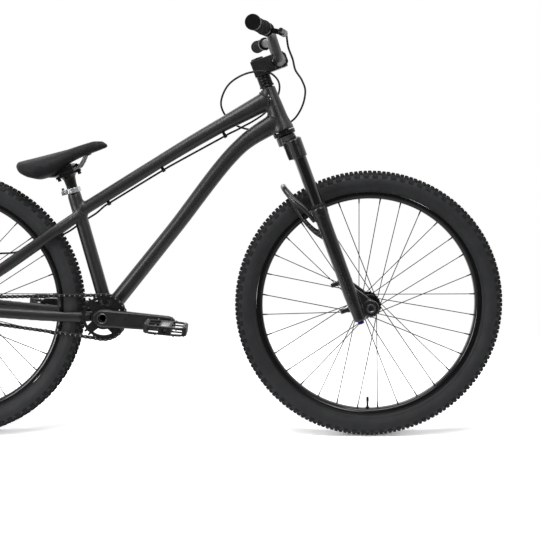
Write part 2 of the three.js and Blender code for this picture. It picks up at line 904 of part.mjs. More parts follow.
function pedalBody() {
  const p = pedal;
  const [l, w] = [p.length / 2, p.width / 2];
  const frame = outline([
    [-l + p.corner, -w], [l - p.corner, -w], [l, -w + p.corner],
    [l, w - p.corner], [l - p.corner, w], [-l + p.corner, w],
    [-l, w - p.corner], [-l, -w + p.corner],
  ]);
  for (const side of [-1, 1]) {
    const near = side * (p.housingRadius + p.inset);
    const far = side * (l - p.railWidth);
    const [a, b] = [w - p.railWidth, w - p.railWidth - p.inset];
    frame.holes.push(outline([[near, -a], [far, -b], [far, b], [near, a]]));
  }
  const cage = new THREE.ExtrudeGeometry(frame, { depth: p.thickness, bevelEnabled: false });
  cage.translate(0, 0, -p.thickness / 2);
  const housing = turned(rodProfile(p.housingRadius, -w, w), smallSides);
  const bore = boreFor(p.axleRadius, smallSides);
  const hollow = turned(rodProfile(bore, -w + p.inset, w + overrun), smallSides);
  return cut(join(cage, housing), hollow);
}

function pedalAxle() {
  const start = crank.eyeInner + gap;
  const face = crank.eyeInner + crank.eyeDepth + gap;
  const end = face + pedal.flangeDepth + gap + pedal.width - pedal.inset * 2;
  return turned([
    [0, -end],
    [pedal.axleRadius, -end],
    [pedal.axleRadius, -face - pedal.flangeDepth],
    [pedal.flangeRadius, -face - pedal.flangeDepth],
    [pedal.flangeRadius, -face],
    [pedal.axleRadius, -face],
    [pedal.axleRadius, -start],
    [0, -start],
  ], smallSides).translate(crankLength, 0, 0);
}

function drivetrain() {
  add(bike, 'chain', chainShape(), steel);
  add(bracketGroup, 'chainring', chainringShape(), anodised);
  add(rearAxleGroup, 'sprocket', sprocketShape(), steel);
  const reach = crank.armInner + crank.bossDepth;
  const spindle = turned(rodProfile(crank.spindleRadius, -crank.armInner - overrun, reach), roundSides);
  const shoulderEnd = chainLine - ring.thickness / 2 - gap;
  const seatRadius = chainring.boreRadius * Math.cos(Math.PI / roundSides) - gap;
  const seat = turned(rodProfile(seatRadius, -crank.armInner - overrun, -shoulderEnd), roundSides);
  const bore = turned(rodProfile(crank.spindleBore, -reach - overrun, reach + overrun), smallSides);
  const right = groupAt(bracketGroup, 0, 0, 0, -radians(crankAngle));
  const left = groupAt(bracketGroup, 0, 0, 0, -radians(crankAngle) + Math.PI);
  const arm = cut(join(crankArm(), spindle, seat), bore, pedalHole());
  add(right, 'crank_arm_right', arm, paint);
  const leftBore = turned(rodProfile(crank.spindleRadius + gap, -reach - overrun, reach + overrun),
    roundSides);
  const leftArm = cut(crankArm(), leftBore, pedalHole());
  const capEnd = -reach - crank.capDepth;
  const cap = turned(rodProfile(crank.bossRadius - crank.capDepth, capEnd, -reach - gap), hubSides);
  addMirrored(left, 'crank_arm_left', leftArm, paint);
  addMirrored(left, 'crank_cap', cap, anodised);
  const place = crank.eyeInner + crank.eyeDepth + pedal.flangeDepth + 2 * gap + pedal.width / 2;
  add(right, 'pedal_axle_right', pedalAxle(), steel);
  addMirrored(left, 'pedal_axle_left', pedalAxle(), steel);
  const rightPedal = groupAt(right, crankLength, -place, 0, radians(crankAngle));
  const leftPedal = groupAt(left, crankLength, place, 0, radians(crankAngle));
  add(rightPedal, 'pedal_right', pedalBody(), anodised);
  addMirrored(leftPedal, 'pedal_left', pedalBody(), anodised);
}

// Frame

function headTubeShape(grow = 0) {
  const h = headTube;
  const waist = headBottom + h.length * h.waistShare;
  return turnedUp([
    [0, headBottom - grow],
    [h.bottomRadius + grow, headBottom - grow],
    [h.bottomRadius + grow, headBottom + h.length * h.waistShare / 3],
    [h.waistRadius + grow, waist + h.length * h.waistShare / 2],
    [h.topRadius + grow, headTop - h.length * h.waistShare / 4],
    [h.topRadius + grow, headTop + grow],
    [0, headTop + grow],
  ], roundSides);
}

function headBore() {
  return turnedUp([
    [0, headBottom - overrun],
    [headTube.boreBottom, headBottom - overrun],
    [headTube.boreTop, headTop + overrun],
    [0, headTop + overrun],
  ], roundSides);
}

function seatTubeShape(grow = 0) {
  const start = bracket.shellRadius / 2;
  return turnedUp(rodProfile(seatTube.radius + grow, start, seatTube.length + grow), roundSides);
}

function shellShape(grow = 0) {
  const half = bracket.shellWidth / 2 + grow;
  return turned(rodProfile(bracket.shellRadius + grow, -half, half), roundSides);
}

function topTubeCurve() {
  const rear = seatPoint(0, 0, seatTube.length - topTube.seatDrop);
  const front = steerPoint(0, 0, headBottom + topTube.headJoint);
  const bendShare = 0.62;
  const bend = rear.clone().lerp(front, bendShare);
  bend.z += topTube.rearHeight / 5;
  return smooth([rear, bend, front]);
}

function topTubeSize(t) {
  const widths = [topTube.rearWidth, topTube.rearWidth, topTube.frontWidth, topTube.frontWidth];
  const heights = [topTube.rearHeight, topTube.rearHeight, (topTube.rearHeight + topTube.frontHeight) / 2,
    topTube.frontHeight];
  return [between(widths, t) / 2, between(heights, t) / 2];
}

function downTubeCurve() {
  const foot = bracketCentre.clone();
  const top = steerPoint(0, 0, headBottom + downTube.headJoint);
  const bendAlongShare = 0.22226;
  const bendUpShare = 0.13448;
  const bend = V(top.x - (top.x - foot.x) * bendAlongShare, 0, top.z - (top.z - foot.z) * bendUpShare);
  const lowShare = 0.5;
  return smooth([foot, foot.clone().lerp(bend, lowShare), bend, top]);
}

function downTubeSize(t) {
  const heights = [downTube.bottomHeight, downTube.bottomHeight * 0.94, downTube.bottomHeight,
    downTube.topHeight];
  const widths = [downTube.width, downTube.width, downTube.width, downTube.topWidth];
  return [between(widths, t) / 2, between(heights, t) / 2];
}

function chainstayCurve() {
  const start = bracketCentre;
  const end = rearCentre;
  const span = start.x - end.x;
  const backShares = [0, 0.055, 0.155, 0.3, 0.64, 0.9];
  const outShares = [0, 0.0816, 0.347, 0.5, 0.8163, 1];
  const dropShares = [0.04, 0.04, 0.04, -0.04, -0.48, -0.88];
  return smooth(backShares.map((share, i) => {
    const out = THREE.MathUtils.lerp(chainstay.frontOut, chainstay.rearOut, outShares[i]);
    return V(start.x - share * span, out, start.z - bracketDrop * dropShares[i]);
  }));
}

function chainstaySize(t) {
  const c = chainstay;
  return [between([c.width, c.width * 0.86, c.width, c.rearWidth], t) / 2,
    between([c.height, c.height, c.rearHeight], t) / 2];
}

function seatstayCurve() {
  const start = seatPoint(0, 0, seatTube.length - seatstay.seatDrop);
  const end = rearCentre.clone();
  const backShares = [0, 0.09, 0.19, 0.36, 0.68, 0.92];
  const outShares = [0, 0.2807, 0.4912, 0.6316, 0.8246, 1];
  return smooth(backShares.map((share, i) => {
    const out = THREE.MathUtils.lerp(seatstay.frontOut, seatstay.rearOut, outShares[i]);
    return start.clone().lerp(end, share).setY(out);
  }));
}

function dropoutPlate(left) {
  const d = dropout;
  const half = d.height / 2;
  const shape = outline([
    [-d.tail, -half * 0.7], [d.reach * 0.4, -half], [d.reach, -half * 0.6], [d.reach * 1.05, half * 0.3],
    [d.reach * 0.95, half * 1.5], [d.reach * 0.6, half * 1.9], [0, half], [-d.tail, half * 0.7],
  ]);
  const inner = rearHub.spacing / 2;
  let body = plate(shape, inner, inner + d.thickness);
  if (left) {
    const arm = outline([
      [d.reach * 0.75, half], [d.reach * 0.5, d.mountReach],
      [d.reach * 0.5 - d.mountWidth, d.mountReach], [-half * 0.6, half * 0.5],
    ]);
    body = join(body, plate(arm, inner, inner + d.thickness));
  }
  const slotHalf = rearHub.axleRadius + gap;
  const slot = block(d.slotLength, d.thickness * 3, slotHalf * 2);
  return cut(body, slot.translate(-(d.slotLength / 2 - slotHalf - gap), inner + d.thickness / 2, 0));
}

function frame() {
  const headSolid = inWorld(headTubeShape(weldGap), steering);
  const seatSolid = inWorld(seatTubeShape(weldGap), seatGroup);
  const shellSolid = shellShape(weldGap).translate(...bracketCentre.toArray());
  add(steering, 'head_tube', cut(headTubeShape(), headBore()), paint);
  const bore = turnedUp(rodProfile(seatTube.bore, seatTube.length - seatTube.boreDepth,
    seatTube.length + overrun), roundSides);
  const shellInSeat = shellSolid.clone().applyMatrix4(seatGroup.matrixWorld.clone().invert());
  add(seatGroup, 'seat_tube', cut(seatTubeShape(), bore, shellInSeat), paint);
  const half = bracket.shellWidth / 2;
  const shell = turned(ringProfile(bracket.boreRadius, bracket.shellRadius, -half, half), roundSides);
  add(bracketGroup, 'bracket_shell', shell, paint);

  const top = sweep(topTubeCurve(), topTubeSize, 8, tubeSides);
  const cleared = cut(top, headSolid, seatSolid);
  const grownTop = sweep(topTubeCurve(), (t) => topTubeSize(t).map((size) => size + weldGap), 8, tubeSides);
  const clips = hoseClips();
  const clipped = join(cleared, ...clips.map((piece) => piece.body));
  add(bike, 'top_tube', cut(clipped, ...clips.map((piece) => piece.hole)), paint);
  const down = sweep(downTubeCurve(), downTubeSize, 9, tubeSides);
  const grownDown = sweep(downTubeCurve(), (t) => downTubeSize(t).map((size) => size + weldGap), 9,
    tubeSides);
  add(bike, 'down_tube', cut(down, headSolid, seatSolid, shellSolid, grownTop), paint);

  const plateReach = dropout.reach * 1.05;
  const plateSpace = block(plateReach + dropout.tail, dropout.thickness + 2 * weldGap,
    dropout.mountReach * 2);
  plateSpace.translate((plateReach - dropout.tail) / 2, rearHub.spacing / 2 + dropout.thickness / 2, 0);
  plateSpace.translate(...rearCentre.toArray());
  const lower = sweep(chainstayCurve(), chainstaySize, 8, staySides);
  const lowerStay = largest(cut(lower, shellSolid, seatSolid, grownDown, plateSpace));
  const upper = sweep(seatstayCurve(), () => [seatstay.radius, seatstay.radius], 7, staySides);
  const upperStay = largest(cut(upper, seatSolid, grownTop, plateSpace));
  add(bike, 'chainstay_left', lowerStay, paint);
  addMirrored(bike, 'chainstay_right', lowerStay, paint);
  add(bike, 'seatstay_left', upperStay, paint);
  addMirrored(bike, 'seatstay_right', upperStay, paint);
  add(rearAxleGroup, 'dropout_left', dropoutPlate(true), paint);
  addMirrored(rearAxleGroup, 'dropout_right', dropoutPlate(false), paint);
  const end = rearHub.spacing / 2 + dropout.thickness + gap;
  const axle = turned([
    [0, -end - rearAxle.headDepth], [rearAxle.headRadius, -end - rearAxle.headDepth],
      [rearAxle.headRadius, -end],
    [rearHub.axleRadius, -end], [rearHub.axleRadius, end], [rearAxle.headRadius, end],
    [rearAxle.headRadius, end + rearAxle.headDepth], [0, end + rearAxle.headDepth],
  ], hubSides);
  add(rearAxleGroup, 'rear_axle', axle, steel);

  const cupEnd = half + bracket.cupDepth;
  const cup = turned(ringProfile(boreFor(crank.spindleRadius, hubSides), bracket.cupRadius, half + gap,
    cupEnd), hubSides);
  add(bracketGroup, 'bracket_cup_left', cup, anodised);
  addMirrored(bracketGroup, 'bracket_cup_right', cup, anodised);

  const steererBore = boreFor(steererTube.radius, roundSides);
  const upperCup = ringProfile(steererBore, headset.upperRadius, headTop + gap,
    headTop + headset.upperHeight);
  add(steering, 'headset_upper', turnedUp(upperCup, roundSides), anodised);
  const lowerCup = [
    [steererBore, headBottom - gap],
    [headset.lowerRadius, headBottom - gap],
    [headset.lowerRadius, axleToCrown + headset.lowerHeight / 2],
    [steererTube.raceRadius, axleToCrown + steererTube.raceHeight + gap],
    [steererBore, axleToCrown + steererTube.raceHeight + gap],
    [steererBore, headBottom - gap],
  ];
  add(steering, 'headset_lower', turnedUp(lowerCup, roundSides), anodised);
}

function clampShape() {
  const c = seatClamp;
  const outer = seatTube.radius + gap + c.wall;
  const top = seatTube.length + gap;
  const low = top - c.height;
  const middle = low + c.height / 2;
  const band = turnedUp([
    [seatTube.radius + gap, low], [outer, low], [outer, top + c.wall / 2],
      [post.radius + gap, top + c.wall / 2],
    [post.radius + gap, top], [seatTube.radius + gap, top], [seatTube.radius + gap, low],
  ], roundSides);
  const ears = block(c.earLength, c.earHalf * 2, c.height).translate(-outer - c.earLength / 2 + c.wall / 2,
    0, middle);
  const slot = block(outer, c.slotHalf * 2, c.height * 3).translate(-outer - c.slotHalf, 0,
    seatTube.length);
  const bolt = turned(rodProfile(c.boltRadius, -c.boltLength / 2, c.boltLength / 2), smallSides);
  return join(cut(join(band, ears), slot), bolt.translate(-outer - c.earLength / 2, 0, middle));
}

// Cockpit and fork

function forkCrown() {
  const f = fork;
  const half = f.legSpacing / 2;
  const top = axleToCrown;
  const under = top - f.crownThickness;
  const arch = new THREE.Shape();
  arch.moveTo(-half, top - f.shoulderDrop);
  arch.lineTo(-half + f.capRadius, top - f.shoulderDrop);
  arch.lineTo(-half / 2, top);
  arch.lineTo(half / 2, top);
  arch.lineTo(half - f.capRadius, top - f.shoulderDrop);
  arch.lineTo(half, top - f.shoulderDrop);
  arch.lineTo(half, top - f.socketDrop);
  arch.lineTo(half - f.socketRadius * 0.9, under - f.crownThickness / 3);
  arch.lineTo(half / 3, under);
  arch.lineTo(-half / 3, under);
  arch.lineTo(-half + f.socketRadius * 0.9, under - f.crownThickness / 3);
  arch.lineTo(-half, top - f.socketDrop);
  arch.closePath();
  const bridge = new THREE.ExtrudeGeometry(arch, { depth: f.crownHalf * 1.5, bevelEnabled: false });
  bridge.rotateX(Math.PI / 2).rotateZ(Math.PI / 2).translate(-f.crownHalf * 0.55, 0, 0);
  const seat = turnedUp(rodProfile(steererTube.raceRadius, under + f.crownThickness / 4, top), roundSides);
  const pieces = [bridge, seat];
  for (const side of [-1, 1]) {
    const socket = turnedUp(rodProfile(f.socketRadius, top - f.socketDrop, top - f.shoulderDrop),
      roundSides);
    pieces.push(socket.translate(f.legOffset, side * half, 0));
  }
  const tools = [turnedUp(rodProfile(steererTube.radius + gap, top - f.socketDrop, top + overrun),
    roundSides)];
  for (const side of [-1, 1]) {
    const bore = turnedUp(rodProfile(f.stanchionRadius + gap, top - f.socketDrop - overrun,
      top - f.crownThickness / 2), roundSides);
    tools.push(bore.translate(f.legOffset, side * half, 0));
  }
  const cap = rodProfile(f.capRadius, top - f.crownThickness / 2, top - f.shoulderDrop + f.capHeight);
  const left = turnedUp(cap, smallSides);
  pieces.push(left.translate(f.legOffset, half, 0));
  return cut(join(...pieces), ...tools);
}

function knobShape() {
  const points = [];
  for (let i = 0; i < knob.lobes * 2; i++) {
    const radius = i % 2 === 0 ? knob.radius : knob.radius * 0.86;
    const angle = (i / knob.lobes) * Math.PI;
    points.push([radius * Math.cos(angle), radius * Math.sin(angle)]);
  }
  return new THREE.ExtrudeGeometry(outline(points), { depth: knob.height, bevelEnabled: false });
}

function lowerLegs() {
  const f = fork;
  const half = f.legSpacing / 2;
  const pieces = [];
  for (const side of [-1, 1]) {
    const leg = turnedUp([
      [0, f.legBottom],
      [f.legBottomRadius * 0.8, f.legBottom],
      [f.legBottomRadius, f.legBottom + f.legBottomRadius],
      [f.legMidRadius, f.boreFloor],
      [f.legMidRadius, f.legTop * 0.86],
      [f.legTopRadius, f.legTop * 0.9],
      [f.legTopRadius, f.legTop],
      [0, f.legTop],
    ], roundSides).translate(f.legOffset, side * half, 0);
    const inner = frontHub.spacing / 2;
    const boss = turned(rodProfile(f.bossRadius, inner, inner + f.bossDepth),
      roundSides).translate(forkRake, 0, 0);
    const web = outline([
      [f.legOffset, f.legBottom + f.legBottomRadius / 2],
      [forkRake, -f.bossRadius * 0.9],
      [forkRake + f.bossRadius * 0.6, f.bossRadius * 0.7],
      [f.legOffset + f.legMidRadius * 0.6, f.bossRadius * 3.4],
      [f.legOffset, f.bossRadius * 3.4],
    ]);
    const flank = plate(web, inner + gap, inner + f.webThickness);
    pieces.push(leg);
    pieces.push(side > 0 ? boss : boss.scale(1, -1, 1));
    pieces.push(side > 0 ? flank : flank.scale(1, -1, 1));
  }
  const outShares = [1, 0.93, 0.72, 0.4, 0];
  const riseShares = [-0.42, 0.02, 0.52, 0.9, 1];
  const backShares = [0.12, 0.36, 0.8, 1, 1.02];
  const start = -f.legTopRadius * 0.2;
  const route = (share, i, side) =>
    V(start - backShares[i] * f.archBack + f.legOffset * 0.4, side * share * half,
      f.legTop + riseShares[i] * f.archRise);
  const points = [
    ...outShares.map((share, i) => route(share, i, 1)),
    ...outShares.slice(0, -1).map((share, i) => route(share, i, -1)).reverse(),
  ];
  const arch = sweep(smooth(points), () => [f.archHalfDepth, f.archHalfHeight], 12, 6, V(-1, 0, 0.25));
  const mounts = [0, 1].map((step) => {
    const low = V(f.legOffset - f.legMidRadius / 2, half, f.legBottom + f.mountRadius * 2 + step
      * f.mountSpacing);
    const tip = low.clone().setX(low.x - f.mountReach);
    return rod(low, tip, f.mountRadius, 6);
  });
  const bores = [-1, 1].map((side) => {
    const bore = turnedUp(rodProfile(f.stanchionRadius + gap, f.boreFloor, f.legTop + overrun), roundSides);
    return bore.translate(f.legOffset, side * half, 0);
  });
  const axleHole = turned(rodProfile(frontHub.axleRadius + gap, -f.legSpacing, f.legSpacing), roundSides);
  return cut(join(...pieces, arch, ...mounts), ...bores, axleHole.translate(forkRake, 0, 0));
}

function stanchion() {
  const top = axleToCrown - fork.crownThickness / 2 - gap;
  return turnedUp(rodProfile(fork.stanchionRadius, fork.stanchionBottom, top), roundSides);
}

function forkAndCockpit() {
  const f = fork;
  const half = f.legSpacing / 2;
  add(steering, 'fork_crown', forkCrown(), gloss);
  const stemTop = headTop + headset.upperHeight + gap + cockpit.spacerHeight + gap + stemSize.height;
  const base = axleToCrown - f.crownThickness;
  const steererEnd = stemTop - stemSize.wall;
  const raceLow = axleToCrown + gap;
  const raceHigh = axleToCrown + steererTube.raceHeight;
  const steerer = [
    [steererTube.bore, base], [steererTube.radius, base], [steererTube.radius, raceLow],
    [steererTube.raceRadius, raceLow], [steererTube.raceRadius - steererTube.raceHeight / 2, raceHigh],
    [steererTube.radius, raceHigh], [steererTube.radius, steererEnd], [steererTube.bore, steererEnd],
    [steererTube.bore, base],
  ];
  add(steering, 'steerer', turnedUp(steerer, roundSides), gloss);
  add(steering, 'stanchion_right', stanchion().translate(f.legOffset, -half, 0), gloss);
  add(steering, 'stanchion_left', stanchion().translate(f.legOffset, half, 0), gloss);
  add(steering, 'fork_lowers', lowerLegs(), gloss);

  const compression = knobShape().translate(f.legOffset, -half, axleToCrown - f.shoulderDrop + gap);
  add(steering, 'compression_knob', compression, anodised);
  const rebound = knobShape().translate(f.legOffset, -half, f.legBottom - knob.height - gap);
  add(steering, 'rebound_knob', rebound, violet);

  const end = frontHub.spacing / 2 + f.bossDepth;
  const axle = turned([
    [0, -end - frontAxle.headDepth + frontAxle.hexDepth],
    [frontAxle.hexRadius, -end - frontAxle.headDepth + frontAxle.hexDepth],
    [frontAxle.hexRadius, -end - frontAxle.headDepth],
    [frontAxle.headRadius, -end - frontAxle.headDepth],
    [frontAxle.headRadius, -end - gap],
    [frontHub.axleRadius, -end - gap],
    [frontHub.axleRadius, end + gap],
    [0, end + gap],
  ], hubSides);
  add(steering, 'front_axle', axle.translate(forkRake, 0, 0), anodised);

  const spacerLow = headTop + headset.upperHeight + gap;
  const spacer = ringProfile(steererTube.radius + gap, cockpit.spacerRadius, spacerLow,
    spacerLow + cockpit.spacerHeight);
  add(steering, 'headset_spacer', turnedUp(spacer, roundSides), anodised);
  add(steering, 'top_cap', turnedUp(rodProfile(cockpit.capRadius, stemTop + gap,
    stemTop + cockpit.capHeight), roundSides), anodised);

  const stemLow = stemTop - stemSize.height;
  const barUp = stemLow + stemSize.height / 2;
  const stemOuter = steererTube.radius + gap + stemSize.wall;
  const split = stemSize.reach + gap;
  const hull = outline([
    [-stemOuter, stemLow], [stemOuter * 0.8, stemLow], [split, barUp - stemSize.clampHeight / 2],
    [split, barUp + stemSize.clampHeight / 2], [stemOuter * 0.8, stemTop], [-stemOuter, stemTop],
  ]);
  const body = plate(hull, -stemSize.width / 2, stemSize.width / 2);
  const narrow = [-1, 1].map((side) =>
    block(stemSize.reach * 0.62, stemSize.bodyHalf, stemSize.height * 3)
      .translate(stemSize.reach * 0.42, side * (stemSize.bodyHalf * 1.5 + stemSize.wall), stemLow));
  const barHole = turned(rodProfile(boreFor(bar.radius, roundSides), -bar.width, bar.width),
    roundSides).translate(stemSize.reach, 0, barUp);
  const steerHole = turnedUp(rodProfile(steererTube.radius + gap, stemLow - overrun, stemTop + overrun),
    roundSides);
  const trims = [-1, 1].map((side) =>
    block(stemOuter * 2, stemSize.width / 2, stemSize.height * 2)
      .translate(-stemOuter * 0.6, side * (stemOuter + stemSize.width / 4), barUp));
  add(steering, 'stem', cut(body, ...narrow, ...trims, barHole, steerHole), anodised);
  const face = outline([
    [split + gap, barUp - stemSize.clampHeight / 2],
    [split + stemSize.faceDepth, barUp - stemSize.clampHeight / 2],
    [split + bar.radius + stemSize.wall, barUp - stemSize.clampHeight / 4],
    [split + bar.radius + stemSize.wall, barUp + stemSize.clampHeight / 4],
    [split + stemSize.faceDepth, barUp + stemSize.clampHeight / 2],
    [split + gap, barUp + stemSize.clampHeight / 2],
  ]);
  add(steering, 'stem_faceplate', cut(plate(face, -stemSize.width / 2, stemSize.width / 2), barHole),
    anodised);

  const cockpitGroup = groupAt(steering, stemSize.reach, 0, barUp);
  barAndControls(cockpitGroup);
  hoses(cockpitGroup);
}

function barPoint(share, side) {
  const half = bar.width / 2;
  const y = share * half;
  const rise = THREE.MathUtils.smoothstep(y, bar.bendStart, bar.bendEnd) * bar.rise;
  const past = Math.max(0, (y - bar.bendEnd) / (half - bar.bendEnd));
  return V(-bar.sweep * past, side * y, rise + bar.upsweep * past);
}

function barAndControls(cockpitGroup) {
  const half = bar.width / 2;
  const stops = [0, bar.clampHalf, bar.bendStart, (bar.bendStart * 3 + bar.bendEnd) / 4,
    (bar.bendStart + bar.bendEnd) / 2,
    (bar.bendStart + bar.bendEnd * 3) / 4, bar.bendEnd, half];
  const shares = stops.map((stop) => stop / half);
  const rightSide = shares.map((share) => barPoint(share, -1)).reverse();
  const leftSide = shares.slice(1).map((share) => barPoint(share, 1));
  const radii = [...stops.slice().reverse(), ...stops.slice(1)].map((stop) => {
    const taper = THREE.MathUtils.smoothstep(stop, bar.clampHalf, bar.bendStart);
    return THREE.MathUtils.lerp(bar.radius, bar.endRadius, taper);
  });
  const places = [...rightSide, ...leftSide];
  const rings = places.map((place, i) => {
    const before = places[Math.max(i - 1, 0)];
    const next = places[Math.min(i + 1, places.length - 1)];
    const along = next.clone().sub(before).normalize();
    const across = V().crossVectors(V(0, 0, 1), along).normalize();
    const over = V().crossVectors(along, across);
    return Array.from({ length: tubeSides }, (_, j) => {
      const angle = ((j + 0.5) / tubeSides) * Math.PI * 2;
      return place.clone().addScaledVector(across, radii[i] * Math.cos(angle)).addScaledVector(over,
        radii[i] * Math.sin(angle));
    });
  });
  add(cockpitGroup, 'handlebar', loft(rings), paint);

  add(cockpitGroup, 'grip_left', gripShape(), rubber);
  addMirrored(cockpitGroup, 'grip_right', gripShape(), rubber);
  brakeLever(cockpitGroup);
}

// The bar's direction at a place, outwards
function barFrame(share, side) {
  const step = 0.02;
  const along = barPoint(share, side).sub(barPoint(share - step, side)).normalize();
  const turn = new THREE.Quaternion().setFromUnitVectors(V(0, side, 0), along);
  return new THREE.Matrix4().compose(barPoint(share, side), turn, V(1, 1, 1));
}

function gripShape() {
  const bore = boreFor(bar.endRadius, tubeSides);
  const end = grip.length + gap;
  const profile = [[bore, 0], [grip.collarRadius, 0], [grip.collarRadius, grip.collar]];
  const ribSpan = (grip.length - 2 * grip.collar) / grip.ribs;
  for (let i = 0; i < grip.ribs; i++) {
    const start = grip.collar + i * ribSpan;
    profile.push([grip.radius, start + ribSpan * 0.15]);
    profile.push([grip.radius + grip.ribHeight, start + ribSpan / 2]);
  }
  profile.push([grip.radius, grip.length - grip.collar]);
  profile.push([grip.endRadius, grip.length - grip.collar / 2]);
  profile.push([grip.endRadius, end + grip.endWall]);
  profile.push([0, end + grip.endWall]);
  profile.push([0, end]);
  profile.push([bore, end]);
  profile.push([bore, 0]);
  const root = barFrame(1, 1).multiply(new THREE.Matrix4().makeTranslation(0, -grip.length, 0));
  return turned(profile, tubeSides).applyMatrix4(root);
}

// The lever's clamp sits inboard of the right grip
function leverPlace() {
  return bar.width / 2 - grip.length - lever.inboard;
}

// The brake lever sits on the right of the bar, turned down towards the fingers
function leverMatrix() {
  const turnDown = new THREE.Matrix4().makeRotationY(radians(lever.turnDown));
  return barFrame(leverPlace() / (bar.width / 2), -1).multiply(turnDown);
}

function leverHoseEnd() {
  return V(lever.forward, lever.bodyInner + lever.nippleLength + gap, 0);
}

function brakeLever(cockpitGroup) {
  const l = lever;
  const matrix = leverMatrix();
  const bore = boreFor(bar.endRadius, roundSides);
  const clampRing = turned(ringProfile(bore, l.clampRadius, -l.clampWidth / 2, l.clampWidth / 2),
    roundSides);
  const stem = block(l.forward - bore, l.clampWidth, l.bodyRadius * 1.3);
  stem.translate((l.forward + bore) / 2 + gap, 0, 0);
  const outer = -l.clampWidth;
  const barrel = turned([
    [0, outer], [l.bodyRadius, outer], [l.bodyRadius, l.bodyInner * 0.75], [l.nippleRadius, l.bodyInner],
    [l.nippleRadius, l.bodyInner + l.nippleLength], [0, l.bodyInner + l.nippleLength],
  ], smallSides).translate(l.forward, 0, 0);
  const earReach = l.pivotDrop + l.pivotRadius * 2;
  const ears = [-1, 1].map((side) => {
    const ear = block(l.pivotRadius * 4, earReach * 1.4, l.earThickness);
    return ear.translate(l.forward, outer - earReach * 0.3, side
      * (l.bladeHalf + gap + l.earThickness / 2));
  });
  const pin = turnedUp(rodProfile(l.pivotRadius, -l.bladeHalf - gap * 2, l.bladeHalf + gap * 2),
    smallSides);
  pin.translate(l.forward, outer - l.pivotDrop, 0);
  const body = join(clampRing, stem, barrel, ...ears, pin);
  add(cockpitGroup, 'brake_lever_body', body.applyMatrix4(matrix), anodised);

  const root = outer - l.pivotDrop;
  const reach = l.bladeLength;
  const bend = l.bladeThickness;
  const profile = [
    [l.forward - bend / 2, root + bend / 2], [l.forward + bend / 2, root + bend / 2],
    [l.forward + bend * 1.7, root - reach * 0.2], [l.forward + bend * 1.3, root - reach * 0.6],
    [l.forward + bend * 2, root - reach * 0.96], [l.forward + bend * 1.2, root - reach],
    [l.forward + bend * 0.4, root - reach * 0.6], [l.forward + bend * 0.7, root - reach * 0.25],
    [l.forward - bend / 2, root - bend / 2],
  ];
  const hole = outline(circlePoints(boreFor(l.pivotRadius, smallSides), smallSides)
    .map(([x, y]) => [x + l.forward, y + root]));
  const flat = outline(profile);
  flat.holes.push(hole);
  const blade = new THREE.ExtrudeGeometry(flat, { depth: l.bladeHalf * 2, bevelEnabled: false });
  add(cockpitGroup, 'brake_lever_blade', blade.translate(0, 0, -l.bladeHalf).applyMatrix4(matrix), silver);
}

// The loose hose runs from the lever once round the head tube, back to the first clip
const looseRoute = [
  [322, -140, 975], [333, -118, 948], [340, -92, 924], [356, -60, 902], [366, -28, 876],
  [358, 6, 836], [333, 36, 802], [285, 44, 784], [232, 40, 781], [192, 36, 793],
  [166, 33, 818], [156, 30, 843], [160, 24, 866], [181, -2, 897], [227, -30, 920],
  [272, -32, 922], [295, -8, 908], [303, 18, 888], [297, 34, 862], [268, 39, 825],
  [237, 31, 803], [215, 14, 791], [197, 3, 781],
];

// The fixed hose leaves the last clip, passes the seat tube and follows the stay to the caliper
const stayRoute = [
  [-160, 13, 572], [-184, 25, 557], [-216, 39, 536], [-241, 52, 520], [-300, 63, 492],
  [-345, 63, 478], [-381, 60, 466], [-419, 56, 464], [-452, 53, 459],
];

// A place under the top tube, below its skin by a given drop
function underTopTube(share, drop) {
  const curve = topTubeCurve();
  const along = curve.getTangent(share);
  const below = V(along.z, 0, -along.x);
  return curve.getPoint(share).addScaledVector(below, topTubeSize(share)[1] + drop);
}

const clipShares = [0.107, 0.33, 0.645];
const hoseDrop = hose.clearance + hose.radius;

function hoseClips() {
  const bore = boreFor(hose.radius + clip.slack, smallSides);
  return clipShares.map((share) => {
    const along = topTubeCurve().getTangent(share);
    const tilt = -Math.atan2(along.z, along.x);
    const height = hoseDrop + bore + clip.wall;
    const body = block(clip.length, clip.half * 2, height * 2).rotateY(tilt);
    const top = underTopTube(share, 0);
    const hole = new THREE.CylinderGeometry(bore, bore, clip.length * 2,
      smallSides).rotateZ(Math.PI / 2).rotateY(tilt);
    const place = underTopTube(share, hoseDrop);
    return { body: body.translate(...top.toArray()), hole: hole.translate(...place.toArray()) };
  });
}

function clippedPoints(share) {
  const place = underTopTube(share, hoseDrop);
  const along = topTubeCurve().getTangent(share);
  const step = clip.length * 1.5;
  return [place.clone().addScaledVector(along, step), place, place.clone().addScaledVector(along, -step)];
}

function hoses(leverGroup) {
  const start = leverHoseEnd().applyMatrix4(leverMatrix()).applyMatrix4(leverGroup.matrixWorld);
  const lead = V(0, clip.length * 1.5, 0).add(leverHoseEnd()).applyMatrix4(leverMatrix());
  const first = clippedPoints(clipShares[2]);
  const along = topTubeCurve().getTangent(clipShares[2]);
  const cutPoint = first[1].clone();
  const loose = [
    start,
    lead.applyMatrix4(leverGroup.matrixWorld),
    ...looseRoute.map((point) => V(...point)),
    first[0],
    cutPoint.clone().addScaledVector(along, gap / 2),
  ];
  const loop = tubeAlong(loose, hose.radius, hoseSides, looseSteps).applyMatrix4(
    steering.matrixWorld.clone().invert());
  add(steering, 'hose_loop', loop, rubber);
  const port = caliperPort();
  const fixed = [
    cutPoint.clone().addScaledVector(along, -gap / 2),
    first[2],
    ...clippedPoints(clipShares[1]),
    ...clippedPoints(clipShares[0]),
    ...stayRoute.map((point) => V(...point)),
    port.lead,
    port.end,
  ];
  add(bike, 'brake_hose', tubeAlong(fixed, hose.radius, hoseSides, fixedSteps), rubber);
}

